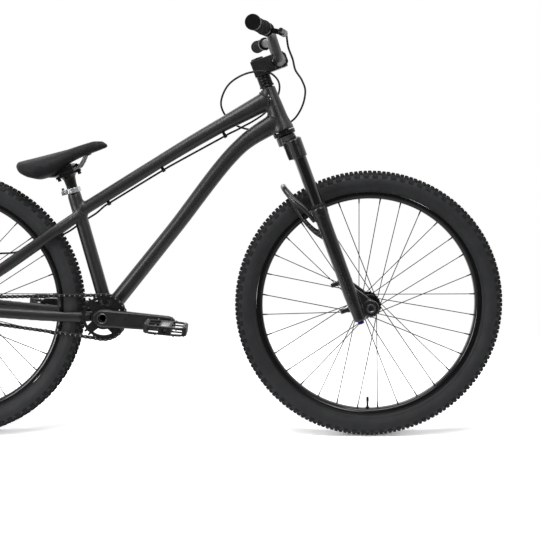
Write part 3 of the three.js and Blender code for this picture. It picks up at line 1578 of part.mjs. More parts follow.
// Rear brake: X lies along the rotor's rim, Z outwards from the axle
function caliperMatrix() {
  const angle = radians(caliper.angle);
  const turn = new THREE.Matrix4().makeRotationY(Math.PI / 2 - angle);
  const place = V(rearCentre.x, rotor.offset, rearCentre.z);
  return new THREE.Matrix4().makeTranslation(...place.toArray()).multiply(turn);
}

function caliperPort() {
  const direction = V(1, 0, 1).normalize();
  const from = V(caliper.length / 2 - caliper.corner, 0, caliper.outerRadius - caliper.corner);
  const tip = from.clone().addScaledVector(direction, caliper.portLength);
  const matrix = caliperMatrix();
  return {
    from: from.clone().applyMatrix4(matrix),
    tip: tip.clone().applyMatrix4(matrix),
    end: tip.clone().addScaledVector(direction, gap).applyMatrix4(matrix),
    lead: tip.clone().addScaledVector(direction, clip.length).applyMatrix4(matrix),
  };
}

function padSlotHalf() {
  return rotor.thickness / 2 + pad.restGap + pad.thickness + gap;
}

function rearBrake() {
  const c = caliper;
  const half = c.length / 2;
  const side = outline([
    [-half, c.innerRadius], [half, c.innerRadius], [half, c.outerRadius - c.corner],
    [half - c.corner, c.outerRadius], [c.corner - half, c.outerRadius], [-half, c.outerRadius - c.corner],
  ]);
  const outerFace = rearHub.spacing / 2 - gap - rotor.offset;
  const body = plate(side, outerFace - c.width, outerFace);
  const slot = block(c.length * 2, padSlotHalf() * 2, c.slotRoof * 2);
  const port = caliperPort();
  const portRod = rod(port.from, port.tip, c.portRadius, smallSides);
  add(bike, 'brake_caliper', join(cut(body, slot).applyMatrix4(caliperMatrix()), portRod), anodised);
  const inner = rotor.thickness / 2 + pad.restGap;
  const middle = (pad.innerRadius + pad.outerRadius) / 2;
  for (const [name, face] of [['brake_pad_left', 1], ['brake_pad_right', -1]]) {
    const lining = block(pad.length, pad.thickness, pad.outerRadius - pad.innerRadius);
    lining.translate(0, face * (inner + pad.thickness / 2), middle);
    add(bike, name, lining.applyMatrix4(caliperMatrix()), padLining);
  }
}

// Seat post, clamp, rails and saddle: X runs forward along the rails, Z out of the saddle
const perch = (() => {
  const place = seatPoint(0, 0, seatTube.length + post.exposed);
  return groupAt(bike, place.x, 0, place.z, -radians(post.tilt));
})();

function railShape(grow = 0) {
  const r = rail;
  const half = r.straight;
  const knee = half * 1.35;
  const side = [
    V(r.nose, r.noseSpread * 1.4, r.rise), V(knee, r.spread * 0.85, r.rise * 0.35),
    V(half, r.spread, 0), V(half - r.radius, r.spread, 0), V(r.radius - half, r.spread, 0),
      V(-half, r.spread, 0),
    V(-knee, r.spread * 1.05, r.rise * 0.25), V(r.tail, r.spread * 1.3, r.rise),
  ];
  const mirrored = side.map((point) => V(point.x, -point.y, point.z));
  const route = [...side.slice().reverse(), V(r.nose * 1.06, 0, r.rise * 1.08), ...mirrored];
  return tubeAlong(route, r.radius + grow, r.sides, r.steps);
}

function seatPost() {
  const c = cradle;
  const top = -rail.radius / 6;
  const floor = top - c.height;
  const neck = [[post.radius, post.radius, -post.neck], [post.radius * 1.15, c.half * 0.7, -post.neck / 2],
    [c.length, c.half, floor]];
  const axisLean = radians(90 - seatAngle) - radians(post.tilt);
  const rings = neck.map(([x, y, z]) => Array.from({ length: hubSides }, (_, i) => {
    const angle = (i / hubSides) * Math.PI * 2;
    return V(x * Math.cos(angle) - z * Math.tan(axisLean), y * Math.sin(angle), z);
  }));
  const bed = block(c.length * 2, c.half * 2, c.height).translate(0, 0, floor + c.height / 2);
  const ears = block(c.ear * 2, c.earHalf * 2, c.height * 0.7).translate(0, 0, floor + c.height * 0.35);
  const tubeTop = seatTube.length + post.exposed - post.neck * 0.8;
  const tubeFoot = seatTube.length + post.exposed - post.length;
  const shaft = turnedUp([
    [post.radius - post.wall, tubeFoot], [post.radius, tubeFoot], [post.radius, tubeTop], [0, tubeTop],
    [0, tubeTop - post.wall], [post.radius - post.wall, tubeTop - post.wall * 2],
      [post.radius - post.wall, tubeFoot],
  ], roundSides);
  const toPerch = perch.matrixWorld.clone().invert().multiply(seatGroup.matrixWorld);
  const grooves = [-1, 1].map((side) =>
    rod(V(-c.ear, side * rail.spread, 0), V(c.ear, side * rail.spread, 0),
      boreFor(rail.radius, rail.sides), rail.sides));
  const holes = [-1, 1].map((side) =>
    turnedUp(rodProfile(boreFor(c.bolt, smallSides), floor - overrun, top + overrun), smallSides)
      .translate(side * c.boltPlace, 0, 0));
  const body = join(loft(rings), bed, ears, shaft.applyMatrix4(toPerch));
  add(perch, 'seatpost', cut(body, ...grooves, ...holes), anodised);
}

function saddleClamp() {
  const c = cradle;
  const low = rail.radius / 6;
  const top = low + upperClamp.height;
  const rib = (c.length * 2) / upperClamp.ribs;
  const ribbed = [];
  for (let i = 0; i < upperClamp.ribs; i++) {
    const x = c.length - i * rib;
    ribbed.push([x, top], [x - rib * 0.6, top], [x - rib * 0.6, top - upperClamp.ribDepth]);
    ribbed.push([x - rib, top - upperClamp.ribDepth]);
  }
  const bed = plate(outline([[-c.length, low], [c.length, low], ...ribbed]), -c.half, c.half);
  const ears = block(c.ear * 2, c.earHalf * 2, upperClamp.height * 0.6).translate(0, 0,
    low + upperClamp.height * 0.3);
  const floor = -rail.radius / 6 - c.height;
  const bolts = [-1, 1].map((side) => turnedUp([
    [0, floor - gap - c.headDepth], [c.headRadius, floor - gap - c.headDepth], [c.headRadius, floor - gap],
    [c.bolt, floor - gap], [c.bolt, top - upperClamp.height * 0.2], [0, top - upperClamp.height * 0.2],
  ], smallSides).translate(side * c.boltPlace, 0, 0));
  const grooves = [-1, 1].map((side) =>
    rod(V(-c.ear, side * rail.spread, 0), V(c.ear, side * rail.spread, 0),
      boreFor(rail.radius, rail.sides), rail.sides));
  add(perch, 'saddle_clamp', cut(join(bed, ears, ...bolts), ...grooves), anodised);
}

// Saddle stations from tail to nose, as shares of its length, half width and top height
const saddleLengthShares = [0, 0.03, 0.094, 0.2, 0.323, 0.45, 0.57, 0.72, 0.86, 0.953, 1];
const saddleWidthShares = [0.3, 0.58, 0.88, 1, 0.94, 0.71, 0.47, 0.33, 0.27, 0.2, 0.09];
const saddleTopShares = [0.84, 0.985, 0.96, 0.9, 0.85, 0.8, 0.76, 0.745, 0.715, 0.6, 0.39];
const saddleSkirtShares = [0.7, 0.49, 0.28, 0.06, 0.03, 0.145, 0.26, 0.3, 0.29, 0.29, 0.3];

function saddleRing(i, inset, roof, floor) {
  const x = saddle.tail + saddleLengthShares[i] * saddle.length;
  const half = saddleWidthShares[i] * saddle.halfWidth * (1 - inset);
  const high = saddleTopShares[i] * saddle.topHeight - roof;
  const low = saddleSkirtShares[i] * saddle.topHeight - floor;
  const points = [];
  for (let j = 0; j < saddle.sides; j++) {
    const angle = ((j + 0.5) / saddle.sides) * Math.PI * 2;
    const [c, d] = [Math.cos(angle), Math.sin(angle)];
    const across = Math.sign(c) * Math.abs(c) ** 0.8;
    const over = Math.sign(d) * Math.abs(d) ** (d > 0 ? 1.05 : 0.5);
    points.push(V(x, half * across, (high + low) / 2 + ((high - low) / 2) * over));
  }
  return points;
}

function saddleShape() {
  const last = saddleLengthShares.length - 1;
  const outer = loft(saddleLengthShares.map((_, i) => saddleRing(i, 0, 0, 0)));
  const wide = saddleLengthShares.map((_, i) => i).slice(2, last - 1);
  const cavity = loft(wide.map((i) => saddleRing(i, 1 - saddle.skirt, saddle.shell, saddle.shell)));
  const socket = rail.radius * 2.2;
  const pieces = [];
  for (const side of [-1, 1]) {
    const high = saddle.topHeight * 0.85 - saddle.shell;
    const height = high - rail.rise + socket;
    const post = block(socket * 1.6, socket * 1.8, height);
    pieces.push(post.translate(rail.tail, side * rail.spread * 1.3, rail.rise - socket + height / 2));
  }
  const noseHeight = saddle.topHeight * 0.7 - saddle.shell / 2 - rail.rise + socket;
  const nose = block(socket * 2, rail.noseSpread * 4, noseHeight);
  pieces.push(nose.translate(rail.nose, 0, rail.rise - socket + noseHeight / 2));
  add(perch, 'saddle', cut(join(cut(outer, cavity), ...pieces), railShape(gap)), cover);
}

frame();
add(seatGroup, 'seat_clamp', clampShape(), silver);
forkAndCockpit();
frontWheel();
rearWheel();
drivetrain();
rearBrake();
seatPost();
saddleClamp();
add(perch, 'saddle_rails', railShape(), steel);
saddleShape();

export default bike;
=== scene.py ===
"""A dirt jump bike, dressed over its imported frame: every visible surface, its finish and the stage."""
import math

import bmesh
import bpy
from mathutils import Matrix, Vector


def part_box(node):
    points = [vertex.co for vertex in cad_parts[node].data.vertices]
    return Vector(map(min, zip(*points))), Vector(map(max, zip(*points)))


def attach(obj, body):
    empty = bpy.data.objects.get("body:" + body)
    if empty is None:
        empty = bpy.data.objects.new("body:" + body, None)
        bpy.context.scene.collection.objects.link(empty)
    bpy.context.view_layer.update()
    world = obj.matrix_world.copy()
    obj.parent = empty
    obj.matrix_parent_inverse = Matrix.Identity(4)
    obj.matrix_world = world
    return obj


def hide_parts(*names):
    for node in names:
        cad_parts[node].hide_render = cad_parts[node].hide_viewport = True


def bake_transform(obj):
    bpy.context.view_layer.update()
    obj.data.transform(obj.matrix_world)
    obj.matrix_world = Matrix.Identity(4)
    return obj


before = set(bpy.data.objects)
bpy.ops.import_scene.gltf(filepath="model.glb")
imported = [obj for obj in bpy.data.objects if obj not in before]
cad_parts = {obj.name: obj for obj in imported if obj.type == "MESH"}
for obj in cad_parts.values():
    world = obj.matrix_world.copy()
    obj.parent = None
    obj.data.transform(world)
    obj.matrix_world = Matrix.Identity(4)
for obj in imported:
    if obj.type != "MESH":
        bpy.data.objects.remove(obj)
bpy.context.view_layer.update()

bl_info = {
    "name": "Dirt jump bike",
    "version": (1, 0, 0),
    "blender": (4, 5, 0),
    "location": "3D View > Sidebar > Bike",
    "description": "Dresses the packed frame of a dirt jump bike with its visible pieces and finishes",
    "category": "Object",
}

MM = 0.001
UP = Vector((0, 0, 1))
SIDES = ((-1, "right"), (1, "left"))

# Places of the bike's moving groups, in millimetres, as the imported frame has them
FRONT_AXLE = Vector((530.0, 0.0, 340.0))
REAR_AXLE = Vector((-530.0, 0.0, 340.0))
BRACKET = Vector((-138.43, 0.0, 315.0))


def placed(x_axis, z_axis, origin):
    """A place whose X and Z axes lie in the bike's middle plane."""
    x = Vector(x_axis).normalized()
    z = Vector(z_axis).normalized()
    y = z.cross(x)
    matrix = Matrix((x, y, z)).transposed().to_4x4()
    matrix.translation = Vector(origin)
    return matrix


STEERING = placed((0.93667, 0, 0.35021), (-0.35021, 0, 0.93667), (483.17, 0, 322.49))
COCKPIT = placed((0.93667, 0, 0.35021), (-0.35021, 0, 0.93667), (301.42, 0, 951.37))
SEAT_TUBE = placed((0.96638, 0, 0.25713), (-0.25713, 0, 0.96638), (-132.43, 0, 315.0))
PERCH = placed((0.93358, 0, 0.35837), (-0.35837, 0, 0.93358), (-228.6, 0, 676.42))
FRONT = Matrix.Translation(FRONT_AXLE)
REAR = Matrix.Translation(REAR_AXLE)
CRANKS = Matrix.Translation(BRACKET)


# Shapes: a shape is (points in millimetres, faces)

def joined(*shapes):
    """Several shapes as one."""
    points, faces = [], []
    for shape_points, shape_faces in shapes:
        start = len(points)
        points += shape_points
        faces += [tuple(i + start for i in face) for face in shape_faces]
    return points, faces


def moved(shape, matrix):
    """A shape taken to its place."""
    return [matrix @ Vector(p) for p in shape[0]], shape[1]


def mirrored(shape):
    """A shape on the other side of the bike's middle plane."""
    return [Vector((p[0], -p[1], p[2])) for p in shape[0]], [tuple(reversed(f)) for f in shape[1]]


def loft(rings):
    """Skin over rings of points that all have the same count, closed at both ends."""
    count = len(rings[0])
    points = [Vector(p) for ring in rings for p in ring]
    faces = []
    for i in range(len(rings) - 1):
        a, b = i * count, (i + 1) * count
        for j in range(count):
            k = (j + 1) % count
            faces.append((a + j, a + k, b + k, b + j))
    faces.append(tuple(reversed(range(count))))
    faces.append(tuple(range(len(points) - count, len(points))))
    return points, faces


def lathe(profile, segments=64, upright=False):
    """A turned shape about Y, or about Z when upright. The profile is a list of (radius, place)."""
    rings = []
    for i in range(segments):
        angle = 2 * math.pi * i / segments
        c, s = math.cos(angle), math.sin(angle)
        if upright:
            rings.append([(r * c, r * s, along) for r, along in profile])
        else:
            rings.append([(r * c, along, r * s) for r, along in profile])
    points = [Vector(p) for ring in rings for p in ring]
    count = len(profile)
    faces = []
    for i in range(segments):
        a, b = i * count, ((i + 1) % segments) * count
        for j in range(count - 1):
            faces.append((a + j, a + j + 1, b + j + 1, b + j))
    return points, faces


def rod(start, end, radius, segments=24, end_radius=None):
    """A round bar between two points."""
    start, end = Vector(start), Vector(end)
    along = (end - start).normalized()
    side = along.orthogonal().normalized()
    over = along.cross(side)
    rings = []
    for centre, size in ((start, radius), (end, radius if end_radius is None else end_radius)):
        ring = []
        for j in range(segments):
            angle = 2 * math.pi * j / segments
            ring.append(centre + side * (size * math.cos(angle)) + over * (size * math.sin(angle)))
        rings.append(ring)
    return loft(rings)


def ring_shape(inner, outer, low, high, segments):
    """A plain ring about Y."""
    return lathe([(inner, low), (outer, low), (outer, high), (inner, high), (inner, low)], segments)


def disc_shape(radius, low, high, segments=48, upright=False):
    """A plain round disc or rod about its axis."""
    return lathe([(0, low), (radius, low), (radius, high), (0, high)], segments, upright)


def block(size, centre=(0, 0, 0)):
    """A rectangular block."""
    x, y, z = (s / 2 for s in size)
    c = Vector(centre)
    ring = [(-x, -y), (x, -y), (x, y), (-x, y)]
    return loft([[c + Vector((p, q, h)) for p, q in ring] for h in (-z, z)])


def polar(radius, angle):
    """A flat point at a radius and an angle."""
    return radius * math.cos(angle), radius * math.sin(angle)


def circle_outline(radius, count, centre=(0.0, 0.0)):
    """The points of a flat circle."""
    turns = [polar(radius, 2 * math.pi * j / count) for j in range(count)]
    return [(centre[0] + x, centre[1] + z) for x, z in turns]


def prism(outline, low, high):
    """A flat outline of (x, z) pairs with thickness along Y."""
    return loft([[(x, y, z) for x, z in outline] for y in (low, high)])


def curve_points(points, steps):
    """A smooth curve through points, with the same rule as the frame's own tubes."""
    p = [Vector(q) for q in points]
    last = len(p) - 1
    made = []
    for i in range(steps + 1):
        place = last * i / steps
        k = min(int(place), last - 1)
        w = place - k
        p0 = p[k - 1] if k > 0 else p[0] * 2 - p[1]
        p1, p2 = p[k], p[k + 1]
        p3 = p[k + 2] if k + 2 <= last else p[last] * 2 - p[last - 1]
        d1 = max((p1 - p2).length_squared ** 0.25, 1e-4)
        d0 = (p0 - p1).length_squared ** 0.25 or d1
        d2 = (p2 - p3).length_squared ** 0.25 or d1
        t1 = ((p1 - p0) / d0 - (p2 - p0) / (d0 + d1) + (p2 - p1) / d1) * d1
        t2 = ((p2 - p1) / d1 - (p3 - p1) / (d1 + d2) + (p3 - p2) / d2) * d1
        c2 = p1 * -3 + p2 * 3 - t1 * 2 - t2
        c3 = p1 * 2 - p2 * 2 + t1 + t2
        made.append(p1 + t1 * w + c2 * w ** 2 + c3 * w ** 3)
    return made


def between(values, t):
    """A value read from an even table at a share from 0 to 1."""
    place = min(max(t, 0), 1) * (len(values) - 1)
    low = min(int(place), len(values) - 2)
    return values[low] + (values[low + 1] - values[low]) * (place - low)


def tube_ring(path, index, widths, heights, angles):
    """Points on the skin of a tube at one place of its path."""
    last = len(path) - 1
    along = (path[min(index + 1, last)] - path[max(index - 1, 0)]).normalized()
    across = UP.cross(along).normalized()
    over = along.cross(across).normalized()
    a, b = between(widths, index / last), between(heights, index / last)
    return [path[index] + across * (a * math.cos(t)) + over * (b * math.sin(t)) for t in angles]


def sweep(path, widths, heights, sides=32):
    """A tube along a path, with half widths and half heights from tables."""
    angles = [2 * math.pi * (j + 0.5) / sides for j in range(sides)]
    return loft([tube_ring(path, i, widths, heights, angles) for i in range(len(path))])


def round_tube(path, radius, sides=16):
    """A round tube along a path, carried without twist."""
    rings = []
    last = len(path) - 1
    side = (path[1] - path[0]).orthogonal().normalized()
    for i, centre in enumerate(path):
        along = (path[min(i + 1, last)] - path[max(i - 1, 0)]).normalized()
        side = (side - along * side.dot(along)).normalized()
        over = along.cross(side)
        ring = []
        for j in range(sides):
            angle = 2 * math.pi * j / sides
            ring.append(centre + side * (radius * math.cos(angle)) + over * (radius * math.sin(angle)))
        rings.append(ring)
    return loft(rings)


# Meshes and objects

# Points of a frame node that lie closer than this are one point, in metres
FRAME_WELD = 2e-5


def tidy(mesh, weld=1e-6):
    """Merges doubles, closes poles and turns faces outwards."""
    work = bmesh.new()
    work.from_mesh(mesh)
    bmesh.ops.remove_doubles(work, verts=work.verts, dist=weld)
    bmesh.ops.dissolve_degenerate(work, edges=work.edges, dist=1e-7)
    bmesh.ops.recalc_face_normals(work, faces=work.faces)
    work.to_mesh(mesh)
    work.free()


def mesh_object(name, shape):
    """An object at the origin whose mesh holds the shape in metres."""
    mesh = bpy.data.meshes.new(name)
    mesh.from_pydata([Vector(p) * MM for p in shape[0]], [], shape[1])
    mesh.update()
    tidy(mesh)
    obj = bpy.data.objects.new(name, mesh)
    bpy.context.scene.collection.objects.link(obj)
    return obj


def baked(obj):
    """Turns an object's modifiers into its plain mesh."""
    graph = bpy.context.evaluated_depsgraph_get()
    mesh = bpy.data.meshes.new_from_object(obj.evaluated_get(graph))
    obj.modifiers.clear()
    obj.data = mesh


def shaded(obj, angle=38):
    """Smooth shading that stays sharp over a given angle."""
    obj.data.shade_smooth()
    obj.data.set_sharp_from_angle(angle=math.radians(angle))


def finished(obj, body, finish, nodes=(), angle=38):
    """A piece gets its finish, rides on its body and stands for its frame nodes."""
    obj.data.materials.clear()
    obj.data.materials.append(MATERIALS[finish])
    shaded(obj, angle)
    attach(obj, body)
    if nodes:
        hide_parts(*nodes)
    return obj


def rounded(obj, width, segments=1, over=30):
    """Rounds the edges that are sharper than an angle in degrees, by a width in millimetres."""
    edge = obj.modifiers.new("Rounded edges", "BEVEL")
    edge.width = width * MM
    edge.segments = segments
    edge.limit_method = "ANGLE"
    edge.angle_limit = math.radians(over)
    baked(obj)


def piece(name, shape, body, finish, nodes=(), bevel=0.0, angle=38):
    """A piece from a shape, with an optional rounded edge in millimetres."""
    obj = mesh_object(name, shape)
    if bevel:
        rounded(obj, bevel, 2, 32)
    return finished(obj, body, finish, nodes, angle)


def node_shape(name):
    """A copy of a frame node's solid, merged, in millimetres."""
    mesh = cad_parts[name].data.copy()
    tidy(mesh, FRAME_WELD)
    points = [v.co / MM for v in mesh.vertices]
    faces = [tuple(f.vertices) for f in mesh.polygons]
    bpy.data.meshes.remove(mesh)
    return points, faces


def reskinned(obj, cell):
    """Gives an object an even skin, with cells of a size in metres."""
    skin = obj.modifiers.new("Skin", "REMESH")
    skin.mode = "VOXEL"
    skin.voxel_size = cell
    baked(obj)


def relaxed(obj, times):
    """Evens out the steps that the cells of a skin leave."""
    soft = obj.modifiers.new("Relax", "SMOOTH")
    soft.factor = 0.5
    soft.iterations = times
    baked(obj)


def fused(name, shape, voxel, relax, cutters=None):
    """Overlapping shapes become one skin, as cast, forged or welded metal is. Cutters are taken away."""
    obj = mesh_object(name, shape)
    reskinned(obj, voxel * MM)
    if cutters is not None:
        tool = mesh_object(name + "_cutter", cutters)
        carve = obj.modifiers.new("Carve", "BOOLEAN")
        carve.object = tool
        carve.operation = "DIFFERENCE"
        carve.solver = "EXACT"
        carve.use_self = True
        baked(obj)
        bpy.data.objects.remove(tool)
        reskinned(obj, voxel * MM)
    relaxed(obj, relax)
    return obj


def softened(name, nodes, body, finish, voxel, relax, cutters=None):
    """A forged or cast piece made from the frame's own solids, with its facets rounded away."""
    obj = fused(name, joined(*[node_shape(n) for n in nodes]), voxel, relax, cutters)
    finished(obj, body, finish, nodes, 50)


# Node trees

def add(tree, kind, inputs=None, **settings):
    """Adds a node with its settings, values and links."""
    made = tree.nodes.new(kind)
    for key, value in settings.items():
        setattr(made, key, value)
    for key, value in (inputs or {}).items():
        if isinstance(value, bpy.types.NodeSocket):
            tree.links.new(value, made.inputs[key])
        else:
            made.inputs[key].default_value = value
    return made


def linear(text):
    """An sRGB hex colour as linear values."""
    values = [int(text[i:i + 2], 16) / 255 for i in (1, 3, 5)]
    return tuple(v / 12.92 if v <= 0.04045 else ((v + 0.055) / 1.055) ** 2.4 for v in values) + (1.0,)


def metres_per(size_mm):
    """The texture scale at which one feature is a given size."""
    return 1.0 / (size_mm * MM)


def base_material(name, colour, metallic, roughness, specular=0.5, coat=(0.0, 0.03)):
    """A Principled material, its coat as (weight, roughness), and the handles that its details need."""
    material = bpy.data.materials.new(name)
    material.use_nodes = True
    material.diffuse_color = linear(colour)
    tree = material.node_tree
    shader = tree.nodes["Principled BSDF"]
    shader.inputs["Base Color"].default_value = linear(colour)
    shader.inputs["Metallic"].default_value = metallic
    shader.inputs["Roughness"].default_value = roughness
    shader.inputs["Specular IOR Level"].default_value = specular
    shader.inputs["Coat Weight"].default_value, shader.inputs["Coat Roughness"].default_value = coat
    place = add(tree, "ShaderNodeTexCoord")
    return material, tree, shader, place.outputs["Object"]


def noise(tree, place, size_mm, detail=2.0, stretch=None):
    """Even noise with features of a given size, stretched along an axis if asked."""
    if stretch:
        place = add(tree, "ShaderNodeMapping", {"Vector": place, "Scale": stretch}).outputs["Vector"]
    inputs = {"Vector": place, "Scale": metres_per(size_mm), "Detail": detail}
    return add(tree, "ShaderNodeTexNoise", inputs).outputs["Fac"]


def relief(tree, shader, height, strength, depth_mm, under=None):
    """A fine relief on the surface, over another where one is given."""
    inputs = {"Height": height, "Strength": strength, "Distance": depth_mm * MM}
    if under is not None:
        inputs["Normal"] = under
    bump = add(tree, "ShaderNodeBump", inputs)
    tree.links.new(bump.outputs["Normal"], shader.inputs["Normal"])
    return bump.outputs["Normal"]


def graded(tree, value, start, end, low=0.0, high=1.0):
    """A value that goes from low to high while another goes from start to end."""
    inputs = {"Value": value, "From Min": start, "From Max": end, "To Min": low, "To Max": high}
    return add(tree, "ShaderNodeMapRange", inputs).outputs["Result"]


# Most values of a noise lie between these two
NOISE_LOW, NOISE_HIGH = 0.3, 0.7


def roughened(tree, shader, value, low, high):
    """A roughness that drifts between two values with a noise."""
    drift = graded(tree, value, NOISE_LOW, NOISE_HIGH, low, high)
    tree.links.new(drift, shader.inputs["Roughness"])


def mottled(tree, shader, value, dark, light):
    """A colour that drifts between two near tones."""
    tones = add(tree, "ShaderNodeValToRGB", {"Fac": value})
    for element, place, colour in zip(tones.color_ramp.elements, (NOISE_LOW, NOISE_HIGH), (dark, light)):
        element.position = place
        element.color = linear(colour)
    tree.links.new(tones.outputs["Color"], shader.inputs["Base Color"])


def powder_coat(dark, light):
    """Matte black powder coat on alloy: a fine orange peel gives broad, soft highlights."""
    material, tree, shader, place = base_material("Matte powder coat", "#161617", 0.0, 0.4, 0.75)
    mottled(tree, shader, noise(tree, place, 40), dark, light)
    roughened(tree, shader, noise(tree, place, 22), 0.37, 0.42)
    relief(tree, shader, noise(tree, place, 1.1, 1), 0.12, 0.02)
    return material


def satin_magnesium():
    """Painted cast magnesium: satin black with the faint unevenness of a casting."""
    material, tree, shader, place = base_material(
        "Satin painted magnesium", "#101011", 0.0, 0.3, 0.5, (0.5, 0.14))
    mottled(tree, shader, noise(tree, place, 30), "#0d0d0e", "#121213")
    roughened(tree, shader, noise(tree, place, 14), 0.27, 0.36)
    relief(tree, shader, noise(tree, place, 6, 2), 0.12, 0.05)
    return material


def gloss_stanchion():
    """Hard anodised, polished tube: nearly black, with a sharp streak of light along it."""
    material, tree, shader, place = base_material(
        "Polished hard anodising", "#060607", 0.0, 0.16, 0.7, (0.6, 0.09))
    roughened(tree, shader, noise(tree, place, 1.2, 1, (1, 1, 0.02)), 0.09, 0.15)
    return material


def black_anodising(name, colour="#131314", roughness=0.34):
    """Black anodised alloy, bead blasted first: a dry satin sheen with a very fine grain."""
    material, tree, shader, place = base_material(name, colour, 0.4, roughness, 0.4)
    roughened(tree, shader, noise(tree, place, 5), roughness - 0.05, roughness + 0.06)
    relief(tree, shader, noise(tree, place, 0.7, 1), 0.25, 0.02)
    return material


def turned_steel(name, colour, roughness=0.28):
    """Bright steel with the fine rings that turning or rolling leaves on it."""
    material, tree, shader, place = base_material(name, colour, 1.0, roughness)
    fine = noise(tree, place, 0.8, 2, (1, 0.05, 1))
    roughened(tree, shader, fine, roughness - 0.06, roughness + 0.08)
    relief(tree, shader, fine, 0.12, 0.02)
    return material


def brushed_disc_steel():
    """Stainless rotor, ground flat: grey, with criss-cross grinding marks and slight heat tint."""
    material, tree, shader, place = base_material("Ground stainless", "#8d8e90", 1.0, 0.3)
    mottled(tree, shader, noise(tree, place, 25), "#7f7f80", "#989899")
    marks = noise(tree, place, 0.6, 3, (1, 1, 0.08))
    roughened(tree, shader, marks, 0.24, 0.4)
    relief(tree, shader, marks, 0.2, 0.02)
    return material


def satin_silver():
    """Clear anodised alloy: pale, even and slightly soft."""
    material, tree, shader, place = base_material("Satin clear anodising", "#c6c7c9", 0.95, 0.3)
    roughened(tree, shader, noise(tree, place, 4), 0.26, 0.36)
    relief(tree, shader, noise(tree, place, 0.6, 1), 0.2, 0.02)
    return material


def tread_rubber():
    """Moulded tyre rubber: dark grey and dry, a little dusty, with a fine moulded grain."""
    material, tree, shader, place = base_material("Moulded tread rubber", "#1a1b1c", 0.0, 0.72, 0.2)
    mottled(tree, shader, noise(tree, place, 18, 3), "#18191a", "#1f2021")
    roughened(tree, shader, noise(tree, place, 7), 0.62, 0.8)
    relief(tree, shader, noise(tree, place, 1.4, 3), 0.5, 0.12)
    return material


def casing_rubber():
    """Tyre sidewall: smooth rubber over a woven casing, whose threads cross and just show."""
    material, tree, shader, place = base_material("Casing rubber", "#272829", 0.0, 0.6, 0.25)
    mottled(tree, shader, noise(tree, place, 35, 2), "#252627", "#2b2c2d")
    threads = add(tree, "ShaderNodeTexWave", {"Vector": place, "Scale": 140.0, "Distortion": 0.4})
    threads.bands_direction = "DIAGONAL"
    first = relief(tree, shader, threads.outputs["Fac"], 0.12, 0.06)
    relief(tree, shader, noise(tree, place, 2.2, 3), 0.25, 0.08, first)
    roughened(tree, shader, noise(tree, place, 20), 0.52, 0.66)
    return material


def rim_anodising():
    """Polished and black anodised rim: dark, with clean bands of light."""
    material, tree, shader, place = base_material(
        "Polished black rim anodising", "#0a0a0b", 0.2, 0.2, 0.4, (0.3, 0.1))
    roughened(tree, shader, noise(tree, place, 12), 0.17, 0.25)
    return material


def black_wire():
    """Blackened stainless spoke wire: thin, dark and slightly glossy."""
    material, tree, shader, place = base_material("Blackened spoke wire", "#101011", 0.3, 0.32, 0.3)
    roughened(tree, shader, noise(tree, place, 3), 0.28, 0.4)
    return material


def chain_steel():
    """Oiled dark chain plates: gun grey, with brighter worn spots."""
    material, tree, shader, place = base_material("Oiled chain plate", "#3a3a3b", 0.9, 0.34)
    mottled(tree, shader, noise(tree, place, 5, 3), "#2c2c2d", "#4b4b4c")
    roughened(tree, shader, noise(tree, place, 3), 0.25, 0.45)
    return material


def pin_steel():
    """Bare chain pins and bolt heads: small bright steel."""
    material, tree, shader, place = base_material("Bare pin steel", "#a9a9a8", 1.0, 0.26)
    roughened(tree, shader, noise(tree, place, 2), 0.2, 0.35)
    return material


def forged_black():
    """Forged alloy crank, shot peened and black anodised: soft edges and a broad satin sheen."""
    material, tree, shader, place = base_material("Peened black anodising", "#202021", 0.12, 0.32, 0.45)
    mottled(tree, shader, noise(tree, place, 22), "#1e1e1f", "#242425")
    relief(tree, shader, noise(tree, place, 1.6, 2), 0.3, 0.05)
    roughened(tree, shader, noise(tree, place, 10), 0.27, 0.4)
    return material


def moulded_nylon():
    """Glass filled nylon: matte black with the dull swirl of the fibres at the skin."""
    material, tree, shader, place = base_material("Glass filled nylon", "#141415", 0.0, 0.5, 0.3)
    mottled(tree, shader, noise(tree, place, 3, 4), "#121213", "#181819")
    relief(tree, shader, noise(tree, place, 0.9, 2), 0.4, 0.04)
    return material


def grip_rubber():
    """Soft grip rubber: very matte, with a skin that catches little light."""
    material, tree, shader, place = base_material("Soft grip rubber", "#141414", 0.0, 0.78, 0.3)
    relief(tree, shader, noise(tree, place, 1.0, 2), 0.5, 0.08)
    roughened(tree, shader, noise(tree, place, 8), 0.7, 0.85)
    return material


def saddle_leather():
    """Coated synthetic leather: charcoal, with pebbles a millimetre or two across and a soft sheen."""
    material, tree, shader, place = base_material("Pebbled synthetic leather", "#19191b", 0.0, 0.6, 0.2)
    mottled(tree, shader, noise(tree, place, 28, 2), "#161618", "#1b1b1d")
    pebbles = add(tree, "ShaderNodeTexVoronoi", {"Vector": place, "Scale": metres_per(1.6)})
    pebbles.feature = "DISTANCE_TO_EDGE"
    raised = add(tree, "ShaderNodeMapRange", {"Value": pebbles.outputs["Distance"], "From Max": 0.22})
    first = relief(tree, shader, raised.outputs["Result"], 0.3, 0.12)
    relief(tree, shader, noise(tree, place, 12, 2), 0.25, 0.5, first)
    roughened(tree, shader, noise(tree, place, 6), 0.52, 0.66)
    shader.inputs["Sheen Weight"].default_value = 0.03
    return material


def hose_jacket():
    """Hydraulic hose: extruded nylon jacket, smooth and lightly glossy."""
    material, tree, shader, place = base_material("Extruded hose jacket", "#0d0d0e", 0.0, 0.3, 0.35)
    roughened(tree, shader, noise(tree, place, 6), 0.26, 0.36)
    return material


def violet_anodising():
    """Blue violet anodised dial: a deep clear colour over metal."""
    material, tree, shader, place = base_material("Violet anodising", "#2c2478", 0.85, 0.3)
    relief(tree, shader, noise(tree, place, 0.6, 1), 0.2, 0.02)
    return material


